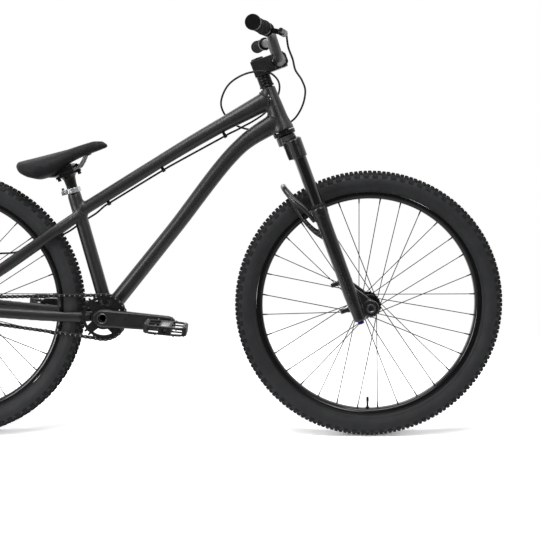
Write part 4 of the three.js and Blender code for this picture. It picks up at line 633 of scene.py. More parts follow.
def brake_lining():
    """Sintered pad: brown grey and grainy."""
    material, tree, shader, place = base_material("Sintered lining", "#4d453d", 0.2, 0.85)
    mottled(tree, shader, noise(tree, place, 1, 3), "#3a332c", "#6a6058")
    relief(tree, shader, noise(tree, place, 0.8, 2), 0.6, 0.1)
    return material


MATERIALS = {}


def make_materials():
    """Makes each finish once."""
    look = bpy.context.scene.bike_frame
    MATERIALS.update(
        coat=powder_coat(look.paint, look.paint_light),
        magnesium=satin_magnesium(),
        stanchion=gloss_stanchion(),
        anodised=black_anodising("Bead blasted black anodising"),
        hub=black_anodising("Turned black anodising", "#111112", 0.28),
        ring=black_anodising("Machined black anodising", "#222223", 0.3),
        steel=turned_steel("Turned steel", "#86878a"),
        axle=turned_steel("Turned axle steel", "#a5a6a8", 0.24),
        rotor=brushed_disc_steel(),
        silver=satin_silver(),
        tread=tread_rubber(),
        casing=casing_rubber(),
        rim=rim_anodising(),
        wire=black_wire(),
        chain=chain_steel(),
        pin=pin_steel(),
        crank=forged_black(),
        nylon=moulded_nylon(),
        grip=grip_rubber(),
        leather=saddle_leather(),
        hose=hose_jacket(),
        violet=violet_anodising(),
        lining=brake_lining(),
    )


# Geometry Nodes trees

def new_tree(name, numbers):
    """A geometry tree with named inputs: (name, socket kind, default)."""
    tree = bpy.data.node_groups.new(name, "GeometryNodeTree")
    tree.interface.new_socket("Geometry", in_out="INPUT", socket_type="NodeSocketGeometry")
    for label, kind, default in numbers:
        socket = tree.interface.new_socket(label, in_out="INPUT", socket_type=kind)
        if default is not None:
            socket.default_value = default
    tree.interface.new_socket("Geometry", in_out="OUTPUT", socket_type="NodeSocketGeometry")
    return tree, add(tree, "NodeGroupInput"), add(tree, "NodeGroupOutput")


def closed_off(tree, given, made, instances):
    """Ends a tree in real geometry with its material."""
    real = add(tree, "GeometryNodeRealizeInstances", {"Geometry": instances})
    inputs = {"Geometry": real.outputs["Geometry"], "Material": given.outputs["Material"]}
    painted = add(tree, "GeometryNodeSetMaterial", inputs)
    tree.links.new(painted.outputs["Geometry"], made.inputs["Geometry"])


def round_tree():
    """Repeats what it is given in even turns about the Y axis, then takes it to a centre."""
    tree, given, made = new_tree("Repeat round an axle", [
        ("Count", "NodeSocketInt", 8),
        ("Centre", "NodeSocketVector", (0, 0, 0)),
        ("Material", "NodeSocketMaterial", None),
    ])
    line = add(tree, "GeometryNodeMeshLine", {"Count": given.outputs["Count"], "Offset": (0, 0, 0)})
    index = add(tree, "GeometryNodeInputIndex")
    step = add(tree, "ShaderNodeMath", {0: 2 * math.pi, 1: given.outputs["Count"]}, operation="DIVIDE")
    turn = add(tree, "ShaderNodeMath", {0: index.outputs["Index"], 1: step.outputs["Value"]},
               operation="MULTIPLY")
    spin = add(tree, "ShaderNodeCombineXYZ", {"Y": turn.outputs["Value"]})
    copies = add(tree, "GeometryNodeInstanceOnPoints", {
        "Points": line.outputs["Mesh"],
        "Instance": given.outputs["Geometry"],
        "Rotation": spin.outputs["Vector"],
    })
    there = add(tree, "GeometryNodeTransform", {
        "Geometry": copies.outputs["Instances"],
        "Translation": given.outputs["Centre"],
    })
    closed_off(tree, given, made, there.outputs["Geometry"])
    return tree


def row_tree():
    """Repeats what it is given in a straight row."""
    tree, given, made = new_tree("Repeat in a row", [
        ("Count", "NodeSocketInt", 8),
        ("Step", "NodeSocketVector", (0, 0.01, 0)),
        ("Material", "NodeSocketMaterial", None),
    ])
    inputs = {"Count": given.outputs["Count"], "Offset": given.outputs["Step"]}
    line = add(tree, "GeometryNodeMeshLine", inputs)
    copies = add(tree, "GeometryNodeInstanceOnPoints", {
        "Points": line.outputs["Mesh"],
        "Instance": given.outputs["Geometry"],
    })
    closed_off(tree, given, made, copies.outputs["Instances"])
    return tree


def marks_tree():
    """Sets what it is given at each mark of another mesh, turned as the mark says."""
    tree, given, made = new_tree("Repeat at marks", [
        ("Marks", "NodeSocketObject", None),
        ("Material", "NodeSocketMaterial", None),
    ])
    marks = add(tree, "GeometryNodeObjectInfo", {"Object": given.outputs["Marks"]})
    facing = add(tree, "GeometryNodeInputNamedAttribute", {"Name": "facing"}, data_type="FLOAT_VECTOR")
    turn = next(socket for socket in facing.outputs if socket.enabled and socket.name == "Attribute")
    copies = add(tree, "GeometryNodeInstanceOnPoints", {
        "Points": marks.outputs["Geometry"],
        "Instance": given.outputs["Geometry"],
        "Rotation": turn,
    })
    closed_off(tree, given, made, copies.outputs["Instances"])
    return tree


def smooth_tree():
    """Merges a frame node's loose triangles and shades them smooth, except over sharp edges."""
    tree, given, made = new_tree("Smooth shading", [("Sharp angle", "NodeSocketFloat", 0.65)])
    inputs = {"Geometry": given.outputs["Geometry"], "Distance": FRAME_WELD}
    merged = add(tree, "GeometryNodeMergeByDistance", inputs)
    edge = add(tree, "GeometryNodeInputMeshEdgeAngle")
    inputs = {0: edge.outputs["Unsigned Angle"], 1: given.outputs["Sharp angle"]}
    sharp = add(tree, "FunctionNodeCompare", inputs, operation="GREATER_THAN")
    inputs = {"Geometry": merged.outputs["Geometry"], "Shade Smooth": True}
    smooth = add(tree, "GeometryNodeSetShadeSmooth", inputs)
    crease = add(tree, "GeometryNodeSetShadeSmooth", {
        "Geometry": smooth.outputs["Geometry"],
        "Selection": sharp.outputs["Result"],
        "Shade Smooth": False,
    }, domain="EDGE")
    tree.links.new(crease.outputs["Geometry"], made.inputs["Geometry"])
    return tree


TREES = {}


def make_trees():
    """Builds each tree once."""
    TREES.update(round=round_tree(), row=row_tree(), marks=marks_tree(), smooth=smooth_tree())


def repeated(obj, tree, values):
    """Runs a tree on an object and keeps the result as its plain mesh."""
    modifier = obj.modifiers.new(tree.name, "NODES")
    modifier.node_group = tree
    for socket in tree.interface.items_tree:
        if socket.in_out == "INPUT" and socket.name in values:
            modifier[socket.identifier] = values[socket.name]
    baked(obj)


def turned_round(obj, count, centre, finish):
    """Repeats an object round an axle."""
    values = {"Count": count, "Centre": tuple(centre * MM), "Material": MATERIALS[finish]}
    repeated(obj, TREES["round"], values)


def round_piece(name, shape, count, centre, body, finish, angle=38):
    """A shape repeated round an axle."""
    obj = mesh_object(name, shape)
    turned_round(obj, count, centre, finish)
    finished(obj, body, finish, angle=angle)


def carried(name, finish):
    """A frame node that stays gets its finish and smooth shading."""
    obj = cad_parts[name]
    for place in obj.material_slots:
        place.material = MATERIALS[finish]
    if not obj.material_slots:
        obj.data.materials.append(MATERIALS[finish])
    modifier = obj.modifiers.new("Smooth shading", "NODES")
    modifier.node_group = TREES["smooth"]


def marked_piece(name, shape, marks, body, finish, nodes=(), bevel=0.0, angle=38):
    """A shape repeated at a list of places, each a matrix in millimetres."""
    mesh = bpy.data.meshes.new(name + "_marks")
    mesh.from_pydata([m.translation * MM for m in marks], [], [])
    turns = mesh.attributes.new("facing", "FLOAT_VECTOR", "POINT")
    for item, mark in zip(turns.data, marks):
        item.vector = mark.to_euler()
    holder = bpy.data.objects.new(name + "_marks", mesh)
    bpy.context.scene.collection.objects.link(holder)
    obj = mesh_object(name, shape)
    if bevel:
        rounded(obj, bevel)
    repeated(obj, TREES["marks"], {"Marks": holder, "Material": MATERIALS[finish]})
    bpy.data.objects.remove(holder)
    finished(obj, body, finish, nodes, angle)


# Small shapes that several pieces share

def facing(origin, direction, up=(0, 0, 1)):
    """A place at a point whose Y axis looks along a direction."""
    y = Vector(direction).normalized()
    x = y.cross(Vector(up))
    x = x.normalized() if x.length > 1e-6 else Vector((1, 0, 0))
    z = x.cross(y)
    matrix = Matrix((x, y, z)).transposed().to_4x4()
    matrix.translation = Vector(origin)
    return matrix


def socket_head(radius, height, socket, depth, dome=0.25, segments=24):
    """A round bolt head on the Y axis with a hexagonal socket in its face."""
    def circle(r, y):
        return [(x, y, z) for x, z in circle_outline(r, segments)]

    def hexagon(y):
        ring = []
        for i in range(segments):
            angle = 2 * math.pi * i / segments
            r = socket / math.cos((angle % (math.pi / 3)) - math.pi / 6)
            ring.append((r * math.cos(angle), y, r * math.sin(angle)))
        return ring
    edge = height * dome
    return loft([
        circle(radius, 0), circle(radius, height - edge), circle(radius - edge * 0.4, height - edge * 0.3),
        circle(radius - edge, height), circle(socket * 1.3, height),
        hexagon(height - socket * 0.1), hexagon(height - depth)])


def seam(path, widths, heights, inside, count, from_end=False):
    """Places of weld ripples, where a swept tube runs into another form."""
    order = list(range(len(path)))
    if not from_end:
        order.reverse()
    found = []
    for j in range(count):
        angle = 2 * math.pi * j / count
        before = tube_ring(path, order[0], widths, heights, [angle])[0]
        for i in order[1:]:
            after = tube_ring(path, i, widths, heights, [angle])[0]
            if inside(after):
                for _ in range(8):
                    middle = (before + after) / 2
                    before, after = (before, middle) if inside(middle) else (middle, after)
                found.append(before)
                break
            before = after
    marks = []
    middle = sum(found, Vector()) / max(len(found), 1)
    for i, point in enumerate(found):
        along = found[(i + 1) % len(found)] - found[i - 1]
        if along.length > 1e-6:
            marks.append(facing(point, along, point - middle))
    return marks


def in_cylinder(origin, axis, radius):
    """A test of whether a point lies in an endless round bar."""
    origin, axis = Vector(origin), Vector(axis).normalized()

    def inside(point):
        away = point - origin
        return (away - axis * away.dot(axis)).length < radius
    return inside


# The welded frame

TOP_RUN = [(-201.3, 0, 575.4), (99.3, 0, 759.0), (283.5, 0, 860.0)]
TOP_WIDTHS = [16, 16, 20.5, 20.5]
TOP_HEIGHTS = [16.3, 16.2, 18.6, 25]
DOWN_RUN = [(-138.4, 0, 315), (33, 0, 527.4), (204.5, 0, 739.8), (302.5, 0, 805.8)]
DOWN_WIDTHS = [20, 20, 20, 22]
DOWN_HEIGHTS = [20, 18.8, 20, 26]
CHAINSTAY_RUN = [(-138.4, 20, 314), (-160, 24, 314), (-199.1, 37, 314), (-255.9, 44.5, 316), (-389, 60, 327),
                 (-490.8, 69, 337)]
CHAINSTAY_WIDTHS = [7.5, 6.5, 7.5, 7]
CHAINSTAY_HEIGHTS = [14, 14, 13.8, 13]
SEATSTAY_RUN = [(-200.1, 14, 569.2), (-229.7, 30, 548.6), (-262.7, 42, 525.7), (-318.8, 50, 486.7),
                (-424.4, 61, 413.3), (-503.6, 71, 358.3)]
SEATSTAY_WIDTHS = [7.8]
SEATSTAY_HEIGHTS = [14.5, 14.5, 14.5, 14, 9]
HEAD_PROFILE = [(0, 486), (28.2, 486), (28.5, 487), (28.3, 491), (26.6, 499), (24.4, 510), (22.9, 521),
                (22.5, 528), (22, 542), (21, 560), (19.8, 580), (19.1, 594), (19, 601), (18.7, 602),
                (0, 602)]
SEAT_TUBE_RADIUS = 17.5
SEAT_TUBE_PROFILE = [(0, 10.5), (SEAT_TUBE_RADIUS, 10.5), (SEAT_TUBE_RADIUS, 315), (16.2, 318.5),
                     (16.2, 330), (0, 330)]
SHELL_RADIUS = 21
SHELL_HALF = 34
# The hose clips: where the hose runs through them, and which way it runs
CLIPS = [((-126, 0, 597.5), (20.5, 0, 12.5)), ((12, 0, 681), (20.6, 0, 12.3)),
         ((167.2, 0, 766), (20.8, 0, 11.5))]
# The skin of the tubes has steps of a cell's size before it is relaxed this many times
FRAME_RELAX = 24


def frame_skin():
    """The welded tubes as one skin, with the bores for the steerer, seatpost and crank spindle."""
    look = bpy.context.scene.bike_frame
    top = curve_points(TOP_RUN, 60)
    down = curve_points(DOWN_RUN, 70)
    chainstay = sweep(curve_points(CHAINSTAY_RUN, 60), CHAINSTAY_WIDTHS, CHAINSTAY_HEIGHTS)
    seatstay = sweep(curve_points(SEATSTAY_RUN, 60), SEATSTAY_WIDTHS, SEATSTAY_HEIGHTS)
    tubes = joined(
        sweep(top, TOP_WIDTHS, TOP_HEIGHTS, 40),
        sweep(down, DOWN_WIDTHS, DOWN_HEIGHTS, 40),
        moved(lathe(HEAD_PROFILE, 64, True), STEERING),
        moved(lathe(SEAT_TUBE_PROFILE, 48, True), SEAT_TUBE),
        moved(disc_shape(SHELL_RADIUS, -SHELL_HALF, SHELL_HALF, 64), CRANKS),
        chainstay, mirrored(chainstay), seatstay, mirrored(seatstay),
        node_shape("dropout_right"), node_shape("dropout_left"),
    )
    bores = joined(
        moved(lathe([(0, 470), (20.6, 470), (15.6, 620), (0, 620)], 48, True), STEERING),
        moved(disc_shape(14.6, 60, 345, 48, True), SEAT_TUBE),
        moved(disc_shape(17.6, -60, 60, 48), CRANKS),
    )
    skin = fused("frame_skin", tubes, look.skin_step, FRAME_RELAX, bores)
    nodes = ["head_tube", "top_tube", "down_tube", "seat_tube", "bracket_shell"]
    nodes += [part + name for part in ("chainstay_", "seatstay_", "dropout_") for _, name in SIDES]
    finished(skin, "frame", "coat", nodes, 60)


def weld_ripples():
    """Small overlapping scales along each joint, as a hand weld leaves them."""
    look = bpy.context.scene.bike_frame
    top = curve_points(TOP_RUN, 160)
    down = curve_points(DOWN_RUN, 200)
    in_head = in_cylinder(STEERING.translation, STEERING.col[2].xyz, 22.3)
    in_seat = in_cylinder(SEAT_TUBE.translation, SEAT_TUBE.col[2].xyz, SEAT_TUBE_RADIUS)
    in_shell = in_cylinder(BRACKET, (0, 1, 0), SHELL_RADIUS)
    step = look.weld_step
    # Each joint has a ripple for every step of its length
    marks = seam(top[80:], [18.3, 20.5], [17.4, 25], in_head, int(140 / step), True)
    marks += seam(down[100:], [20, 22], [19.5, 26], in_head, int(160 / step), True)
    marks += seam(top[:80], [16], [16.3, 16.2], in_seat, int(95 / step))
    marks += seam(down[:80], [20], [20, 19.5], in_shell, int(125 / step))
    width = look.weld_width
    scale = lathe([(0, -1.5), (width * 0.7, -1.1), (width, 0), (width * 0.7, 1.1), (0, 1.5)], 10)
    marked_piece("frame_welds", scale, marks, "frame", "coat", angle=80)


def frame_fittings():
    """Hose clips under the top tube, chain tension screws and two rivets on the head tube."""
    clips = []
    for place, along in CLIPS:
        there = facing(place, along)
        ring = ring_shape(3.1, 5.2, -4, 4, 32)
        foot = block((5, 7.4, 7.4), (0, 0, 6.6))
        clips += [moved(ring, there), moved(foot, there)]
    piece("hose_clips", joined(*clips), "frame", "anodised", bevel=0.4)
    screws = []
    for side in (-1, 1):
        place = facing((-557.6, side * 71, 340), (1, 0, 0))
        screws.append(moved(socket_head(3.6, 2.4, 1.6, 1.5), place @ Matrix.Rotation(math.pi, 4, "Z")))
    piece("tension_screws", joined(*screws), "frame", "steel")
    rivets = []
    for x, z in ((276.5, 864.0), (280.4, 856.0)):
        rivets.append(moved(socket_head(2.6, 1.6, 1.1, 1.0, 0.6, 18), facing((x, -19.6, z), (0, -1, 0))))
    piece("head_badge_rivets", joined(*rivets), "frame", "pin")


def seat_collar():
    """The silver band that clamps the seatpost, with its bolt."""
    softened("seat_collar", ["seat_clamp"], "frame", "silver", 0.7, 4)
    low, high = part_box("seat_clamp")
    back = Vector((low.x + 0.006, 0, (low.z + high.z) / 2 - 0.005)) / MM
    bolt = moved(socket_head(3.6, 3.0, 1.9, 2), facing((back.x, -8.4, back.z + 9), (0, -1, 0)))
    piece("seat_collar_bolt", bolt, "frame", "steel")


# The headset, fork and front axle

LEG_PROFILE = [(0, -20), (11.5, -20), (14.2, -18.4), (15, -15), (15.3, 10), (16.2, 90), (17.2, 150),
               (17.5, 232), (18, 256), (18.3, 262), (20, 266), (20, 279), (19.2, 283), (0, 283)]
# The arch from leg to middle: shares of its half width, of its rise and of its way back
ARCH_OUT = [1, 0.93, 0.72, 0.4, 0]
ARCH_RISE = [-0.42, 0.02, 0.52, 0.9, 1]
ARCH_BACK = [0.12, 0.36, 0.8, 1, 1.02]
LEG_HALF_SPACING = 66
LEG_FORWARD = 15
SEAL_PROFILE = [(15.15, 282), (19.0, 282), (19.2, 284.5), (18.4, 287), (16.6, 290), (15.15, 290.6),
                (15.15, 282)]
LEG_SKIN_STEP = 1.52
LEG_RELAX = 12
STANCHION_RADIUS = 15
STANCHION_LOW = 130
STANCHION_HIGH = 459


def leg_place(side):
    """The place of a fork leg, its foot at the height of the axle."""
    return STEERING @ Matrix.Translation((LEG_FORWARD, side * LEG_HALF_SPACING, 0))


def headset():
    """The cup under the head tube and the cover over it, each with a fine groove, and the spacers."""
    lower = lathe([(18, 474.4), (25.5, 474.4), (27.6, 476), (28, 478.5), (27.7, 480), (28, 481.5),
                   (28, 485.7), (18, 485.7), (18, 474.4)], 72, True)
    piece("headset_cup", moved(lower, STEERING), "frame", "anodised", ["headset_lower"])
    upper = lathe([(15.2, 602.3), (18.5, 602.3), (18.5, 605), (18.1, 605.4), (18.4, 606), (17.4, 608),
                   (15.2, 608), (15.2, 602.3)], 64, True)
    piece("headset_cover", moved(upper, STEERING), "frame", "anodised", ["headset_upper"])
    spacers = []
    for low, high in ((608.5, 616), (616.3, 623.8), (624.1, 631.6)):
        spacers.append(lathe([(14.9, low), (16.7, low), (17, low + 0.4), (17, high - 0.4), (16.7, high),
                              (14.9, high), (14.9, low)], 56, True))
    piece("steerer_spacers", moved(joined(*spacers), STEERING), "steering", "anodised",
          ["headset_spacer"])


def crown_and_stanchions():
    """The forged crown, the two polished tubes that it holds and the air cap."""
    softened("crown_skin", ["fork_crown"], "steering", "magnesium", 1.3, 14)
    for side, name in SIDES:
        tube = disc_shape(STANCHION_RADIUS, STANCHION_LOW, STANCHION_HIGH, 96, True)
        piece("stanchion_skin_" + name, moved(tube, leg_place(side)), "steering", "stanchion",
              ["stanchion_" + name])
    cap = lathe([(0, 474), (12, 474), (12, 478.6), (11, 479.6), (8.5, 480), (0, 480)], 48, True)
    piece("air_cap", moved(cap, leg_place(1)), "steering", "anodised")


def lower_legs():
    """The cast lower legs, the reverse arch with its open struts, and the foot round each axle boss."""
    shapes = [node_shape("fork_lowers")]
    for side in (-1, 1):
        shapes.append(moved(lathe(LEG_PROFILE, 64, True), leg_place(side)))
        boss = disc_shape(21, min(side * 55, side * 70), max(side * 55, side * 70), 64)
        shapes.append(moved(moved(boss, Matrix.Translation((50, 0, 0))), STEERING))
        arch = [Vector((2.2 - 50 * b, side * 66 * o, 283 + 74 * r))
                for o, r, b in zip(ARCH_OUT, ARCH_RISE, ARCH_BACK)]
        shapes.append(moved(round_tube(curve_points(arch, 28), 7.4, 20), STEERING))
        strut = [Vector((8, side * 64, 196)), Vector((-16, side * 60, 228)), Vector((-34, side * 52, 276)),
                 Vector((-42, side * 44, 322))]
        shapes.append(moved(round_tube(curve_points(strut, 24), 4.6, 16), STEERING))
    bore = disc_shape(STANCHION_RADIUS + 0.5, 26, 300, 64, True)
    bores = [moved(bore, leg_place(side)) for side in (-1, 1)]
    legs = fused("lower_leg_skin", joined(*shapes), LEG_SKIN_STEP, LEG_RELAX, joined(*bores))
    finished(legs, "fork_lower", "magnesium", ["fork_lowers"], 50)
    seals = [moved(lathe(SEAL_PROFILE, 64, True), leg_place(side)) for side in (-1, 1)]
    piece("wiper_seals", joined(*seals), "fork_lower", "grip")


def front_axle():
    """The through axle: a grey ring of a head round a deep dark socket."""
    head = lathe([(7, -69.8), (12.4, -69.8), (12.4, -72.6), (11.4, -74), (8, -74), (7, -73), (7, -69.8)], 48)
    piece("axle_head", moved(head, FRONT), "fork_lower", "steel", ["front_axle"])
    shaft = disc_shape(9.6, -69.6, 70.3, 48)
    piece("axle_shaft", moved(shaft, FRONT), "fork_lower", "hub", bevel=0.5)


def fork_dials():
    """The black dial on the crown and the violet one under the right leg, knurled round their edge."""
    lobes = 12
    outline = []
    for i in range(lobes * 6):
        angle = 2 * math.pi * i / (lobes * 6)
        outline.append((7.6 + 0.35 * math.cos(lobes * angle), angle))
    for node, body, slot, finish, sign in (
            ("compression_knob", "compression_dial", "black_parts", "anodised", 1),
            ("rebound_knob", "rebound_dial", "knob_violet", "violet", -1)):
        low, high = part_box(node)
        centre = (low + high) / 2 / MM
        rings = []
        for level, inset in ((-3.8, 0.5), (-3.2, 0), (2.6, 0), (3.6, 0.8)):
            rings.append([((r - inset) * math.cos(a), (r - inset) * math.sin(a), sign * level)
                          for r, a in outline])
        top = STEERING.copy()
        top.translation = centre
        piece(node + "_skin", moved(loft(rings), top), body, finish, [node])


# The cockpit

BAR_HALF = 380.0
GRIP_LENGTH = 135.0
GRIP_RIBS = 33
RIB_STEP = 3.4


def smoothstep(value, low, high):
    """A smooth rise from 0 to 1."""
    t = min(max((value - low) / (high - low), 0), 1)
    return t * t * (3 - 2 * t)


# Half the bar's straight middle, the reach at which its rise ends, and the rise, sweep and upsweep
BAR_MIDDLE, BAR_BEND, BAR_RISE, BAR_SWEEP, BAR_UPSWEEP = 58, 165, 62, 34, 14
CLAMP_RADIUS, BAR_RADIUS = 15.9, 11.1


def bar_point(reach, side):
    """A point of the riser bar at a distance from its middle."""
    past = max(0, (reach - BAR_BEND) / (BAR_HALF - BAR_BEND))
    rise = smoothstep(reach, BAR_MIDDLE, BAR_BEND) * BAR_RISE + BAR_UPSWEEP * past
    return Vector((-BAR_SWEEP * past, side * reach, rise))


def bar_end(side):
    """The place of a bar end, its Y axis outwards along the bar."""
    along = bar_point(BAR_HALF, side) - bar_point(BAR_HALF - 7.6, side)
    return COCKPIT @ facing(bar_point(BAR_HALF, side), along)


def handlebar():
    """The riser bar, swelling to its clamp in the middle."""
    steps = [-BAR_HALF + i * BAR_HALF / 60 for i in range(121)]
    path = [COCKPIT @ bar_point(abs(y), -1 if y < 0 else 1) for y in steps]
    radii = [CLAMP_RADIUS + (BAR_RADIUS - CLAMP_RADIUS) * smoothstep(abs(y), 36, BAR_MIDDLE) for y in steps]
    bar = sweep(path, radii, radii, 40)
    piece("riser_bar", bar, "steering", "coat", ["handlebar"])


def grips():
    """Lock-on grips: rubber with close ribs, a bolted collar inside and a cap at the end."""
    for side, name in SIDES:
        root = bar_end(side) @ Matrix.Translation((0, -GRIP_LENGTH, 0))
        sleeve = lathe([(11.3, 12.4), (13.9, 12.4), (14.2, 14), (14.2, 122), (13.9, 128.5), (11.3, 128.5),
                        (11.3, 12.4)], 56)
        piece("grip_sleeve_" + name, moved(sleeve, root), "steering", "grip",
              ["grip_" + name])
        rib = lathe([(13.9, -1.5), (14.9, -1), (15.6, -0.4), (15.6, 0.4), (14.9, 1), (13.9, 1.5),
                     (13.9, -1.5)], 40)
        ribs = mesh_object("grip_ribs_" + name, moved(rib, Matrix.Translation((0, 15.6, 0))))
        values = {"Count": GRIP_RIBS, "Step": (0, RIB_STEP * MM, 0), "Material": MATERIALS["grip"]}
        repeated(ribs, TREES["row"], values)
        for vertex in ribs.data.vertices:
            vertex.co = (root @ (vertex.co / MM)) * MM
        finished(ribs, "steering", "grip", angle=60)
        collar = lathe([(11.3, 0.2), (16.4, 0.2), (17, 0.9), (17, 11.2), (16.4, 12), (11.3, 12),
                        (11.3, 0.2)], 56)
        cap = lathe([(0, 129), (17, 129), (17.4, 130), (17.4, 137.6), (16.2, 139), (0, 139)], 56)
        piece("grip_collars_" + name, moved(joined(collar, cap), root), "steering",
              "anodised")
        bolt = moved(socket_head(2.9, 1.6, 1.4, 1.2), facing((0, 6, -16.2), (0, 0, -1)))
        piece("grip_bolt_" + name, moved(bolt, root), "steering", "steel")


def stem():
    """The forged stem, its faceplate with four bolts, and the top cap with its own bolt."""
    softened("stem_skin", ["stem"], "steering", "crank", 0.95, 6)
    softened("faceplate_skin", ["stem_faceplate"], "steering", "crank", 0.8, 5)
    marks = []
    low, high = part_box("stem_faceplate")
    middle = (low + high) / 2 / MM
    for across in (-15, 15):
        for up in (-15.5, 15.5):
            face = middle + COCKPIT.col[0].xyz * 5.6 + COCKPIT.col[2].xyz * up
            marks.append(facing(face + Vector((0, across, 0)), COCKPIT.col[0].xyz))
    marked_piece("faceplate_bolts", socket_head(3.8, 1.8, 1.9, 1.4), marks, "steering", "steel")
    cap = lathe([(0, 672.8), (16, 672.8), (16, 675.4), (15.2, 677), (11, 678.2), (5.4, 678.2), (4.8, 675.6),
                 (0, 675.6)], 56, True)
    piece("steerer_cap", moved(cap, STEERING), "steering", "anodised", ["top_cap"])
    place = STEERING @ Matrix.Translation((0, 0, 675.6))
    bolt = moved(socket_head(4.2, 1.8, 2.1, 1.5), facing((0, 0, 0), (0, 0, 1), (0, 1, 0)))
    piece("steerer_cap_bolt", moved(bolt, place), "steering", "steel")


def brake_lever():
    """The master cylinder with its clamp, and the pressed lever blade."""
    softened("lever_housing", ["brake_lever_body"], "steering", "anodised", 0.75, 5)
    softened("lever_blade", ["brake_lever_blade"], "lever", "crank", 0.6, 6)


# Hoses

LOOSE_RUN = [(315.4, -165.3, 1002.2), (317.5, -153.5, 1002.2), (322, -140, 975), (333, -118, 948),
             (340, -92, 924), (356, -60, 902), (366, -28, 876), (358, 6, 836), (333, 36, 802),
             (285, 44, 784), (232, 40, 781), (192, 36, 793), (166, 33, 818), (156, 30, 843),
             (160, 24, 866), (181, -2, 897), (227, -30, 920), (272, -32, 922), (295, -8, 908),
             (303, 18, 888), (297, 34, 862), (268, 39, 825), (237, 31, 803), (215, 14, 791),
             (197, 3, 781), (177.7, 0, 771.8), (167.3, 0, 766.1)]
FRAME_RUN = [(167, 0, 765.9), (156.7, 0, 760.2), (22.3, 0, 687.2), (12, 0, 681), (1.7, 0, 674.9),
             (-115.8, 0, 603.8), (-126, 0, 597.5), (-136.3, 0, 591.3), (-160, 13, 572), (-184, 25, 557),
             (-216, 39, 536), (-241, 52, 520), (-300, 63, 492), (-345, 63, 478), (-381, 60, 466),
             (-419, 56, 464), (-452, 53, 459), (-468, 51, 428.7), (-474.8, 51, 425.3)]
HOSE_RADIUS = 2.5


def hoses():
    """The free loop round the head tube, and the clipped run behind it."""
    path = curve_points(LOOSE_RUN, 320)
    loop = mesh_object("brake_hose_loop", round_tube(path, HOSE_RADIUS))
    loop.data.materials.append(MATERIALS["hose"])
    shaded(loop, 80)
    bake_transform(loop)
    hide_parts("hose_loop")
    path = curve_points(FRAME_RUN, 300)
    run = piece("brake_hose_run", round_tube(path, HOSE_RADIUS), "frame", "hose", ["brake_hose"],
                angle=80)


# Wheels

CASING_HALF = [(286.0, 14.0), (287.6, 15.7), (289.4, 17.4), (290.4, 18.5), (291.2, 18.4), (295, 21.6),
               (301, 25.3), (306, 27.6), (311, 28.4), (316, 28.1), (319.5, 27.2), (321, 27.0),
               (321.8, 26.3), (325, 24.2), (328.5, 20.6), (331.5, 15.5), (333.6, 9), (334.6, 0)]
LINER_HALF = [(331.6, 0), (329, 12), (323, 21), (312, 25.4), (301, 22.3), (292, 16), (286.8, 12.4)]
RIM_HALF = [(278.6, 0), (279, 7), (281, 12.4), (285.2, 12.8), (285.5, 14.2), (285, 15), (282, 15),
            (276, 14.2), (271.6, 10.6), (269.8, 7.4), (269.5, 0)]
SPOKES = 32
SPOKE_CIRCLE = 23.5
SPOKE_END = 271
SPOKE_RADIUS = 1.1
CROSSINGS = 3


def tyre_section():
    """The closed section of the casing: outside from bead to bead, then back along the inside."""
    right = [(r, -y) for r, y in reversed(CASING_HALF[:-1])]
    inner_right = [(r, -y) for r, y in reversed(LINER_HALF)]
    return CASING_HALF + right + inner_right + LINER_HALF[1:] + [CASING_HALF[0]]


def rim_section():
    """The closed section of the rim."""
    return RIM_HALF + [(r, -y) for r, y in reversed(RIM_HALF[:-1])]


# Side, inner and crown block: share of a pitch, length, and its edges as (y, foot radius, top radius)
TREAD_BLOCKS = (
    (0, 14, (26.9, 321.5, 326.6), (18.6, 329, 332.8)),
    (0.5, 9.5, (17.2, 330, 335.2), (10.4, 333, 338.2)),
    (0.02, 9.5, (9.2, 333.2, 338.8), (1.2, 334, 339.9)),
)
TREAD_RADIUS = 336
TREAD_DRAFT = 0.9


def knob_block(centre_angle, length, edges):
    """One tread block: its edges are (y, foot radius, top radius) from one side to the other."""
    rings = []
    for top in (False, True):
        half = length / 2 - (TREAD_DRAFT if top else 0)
        ring = []
        for which, along in ((0, -half), (0, half), (-1, half), (-1, -half)):
            y, foot, crest = edges[which]
            radius = crest if top else foot
            if top:
                y += TREAD_DRAFT * 0.7 * (1 if edges[-1][0] > y else -1)
            angle = centre_angle + along / TREAD_RADIUS
            ring.append((radius * math.cos(angle), y, radius * math.sin(angle)))
        rings.append(ring)
    return loft(rings)


def tread(name, centre, body):
    """The tread blocks, one pitch repeated round the tyre: side blocks, inner blocks and crown blocks."""
    look = bpy.context.scene.bike_wheels
    pitch = 2 * math.pi / look.tread_pitches
    blocks = []
    for side, shift in ((-1, 0.0), (1, 0.5)):
        for part, length, outer, inner in TREAD_BLOCKS:
            edges = [(side * y, foot, crest) for y, foot, crest in (outer, inner)]
            blocks.append(knob_block((shift + part) * pitch, length, edges))
    obj = mesh_object(name, joined(*blocks))
    rounded(obj, 0.6)
    turned_round(obj, look.tread_pitches, centre, "tread")
    finished(obj, body, "tread", angle=30)


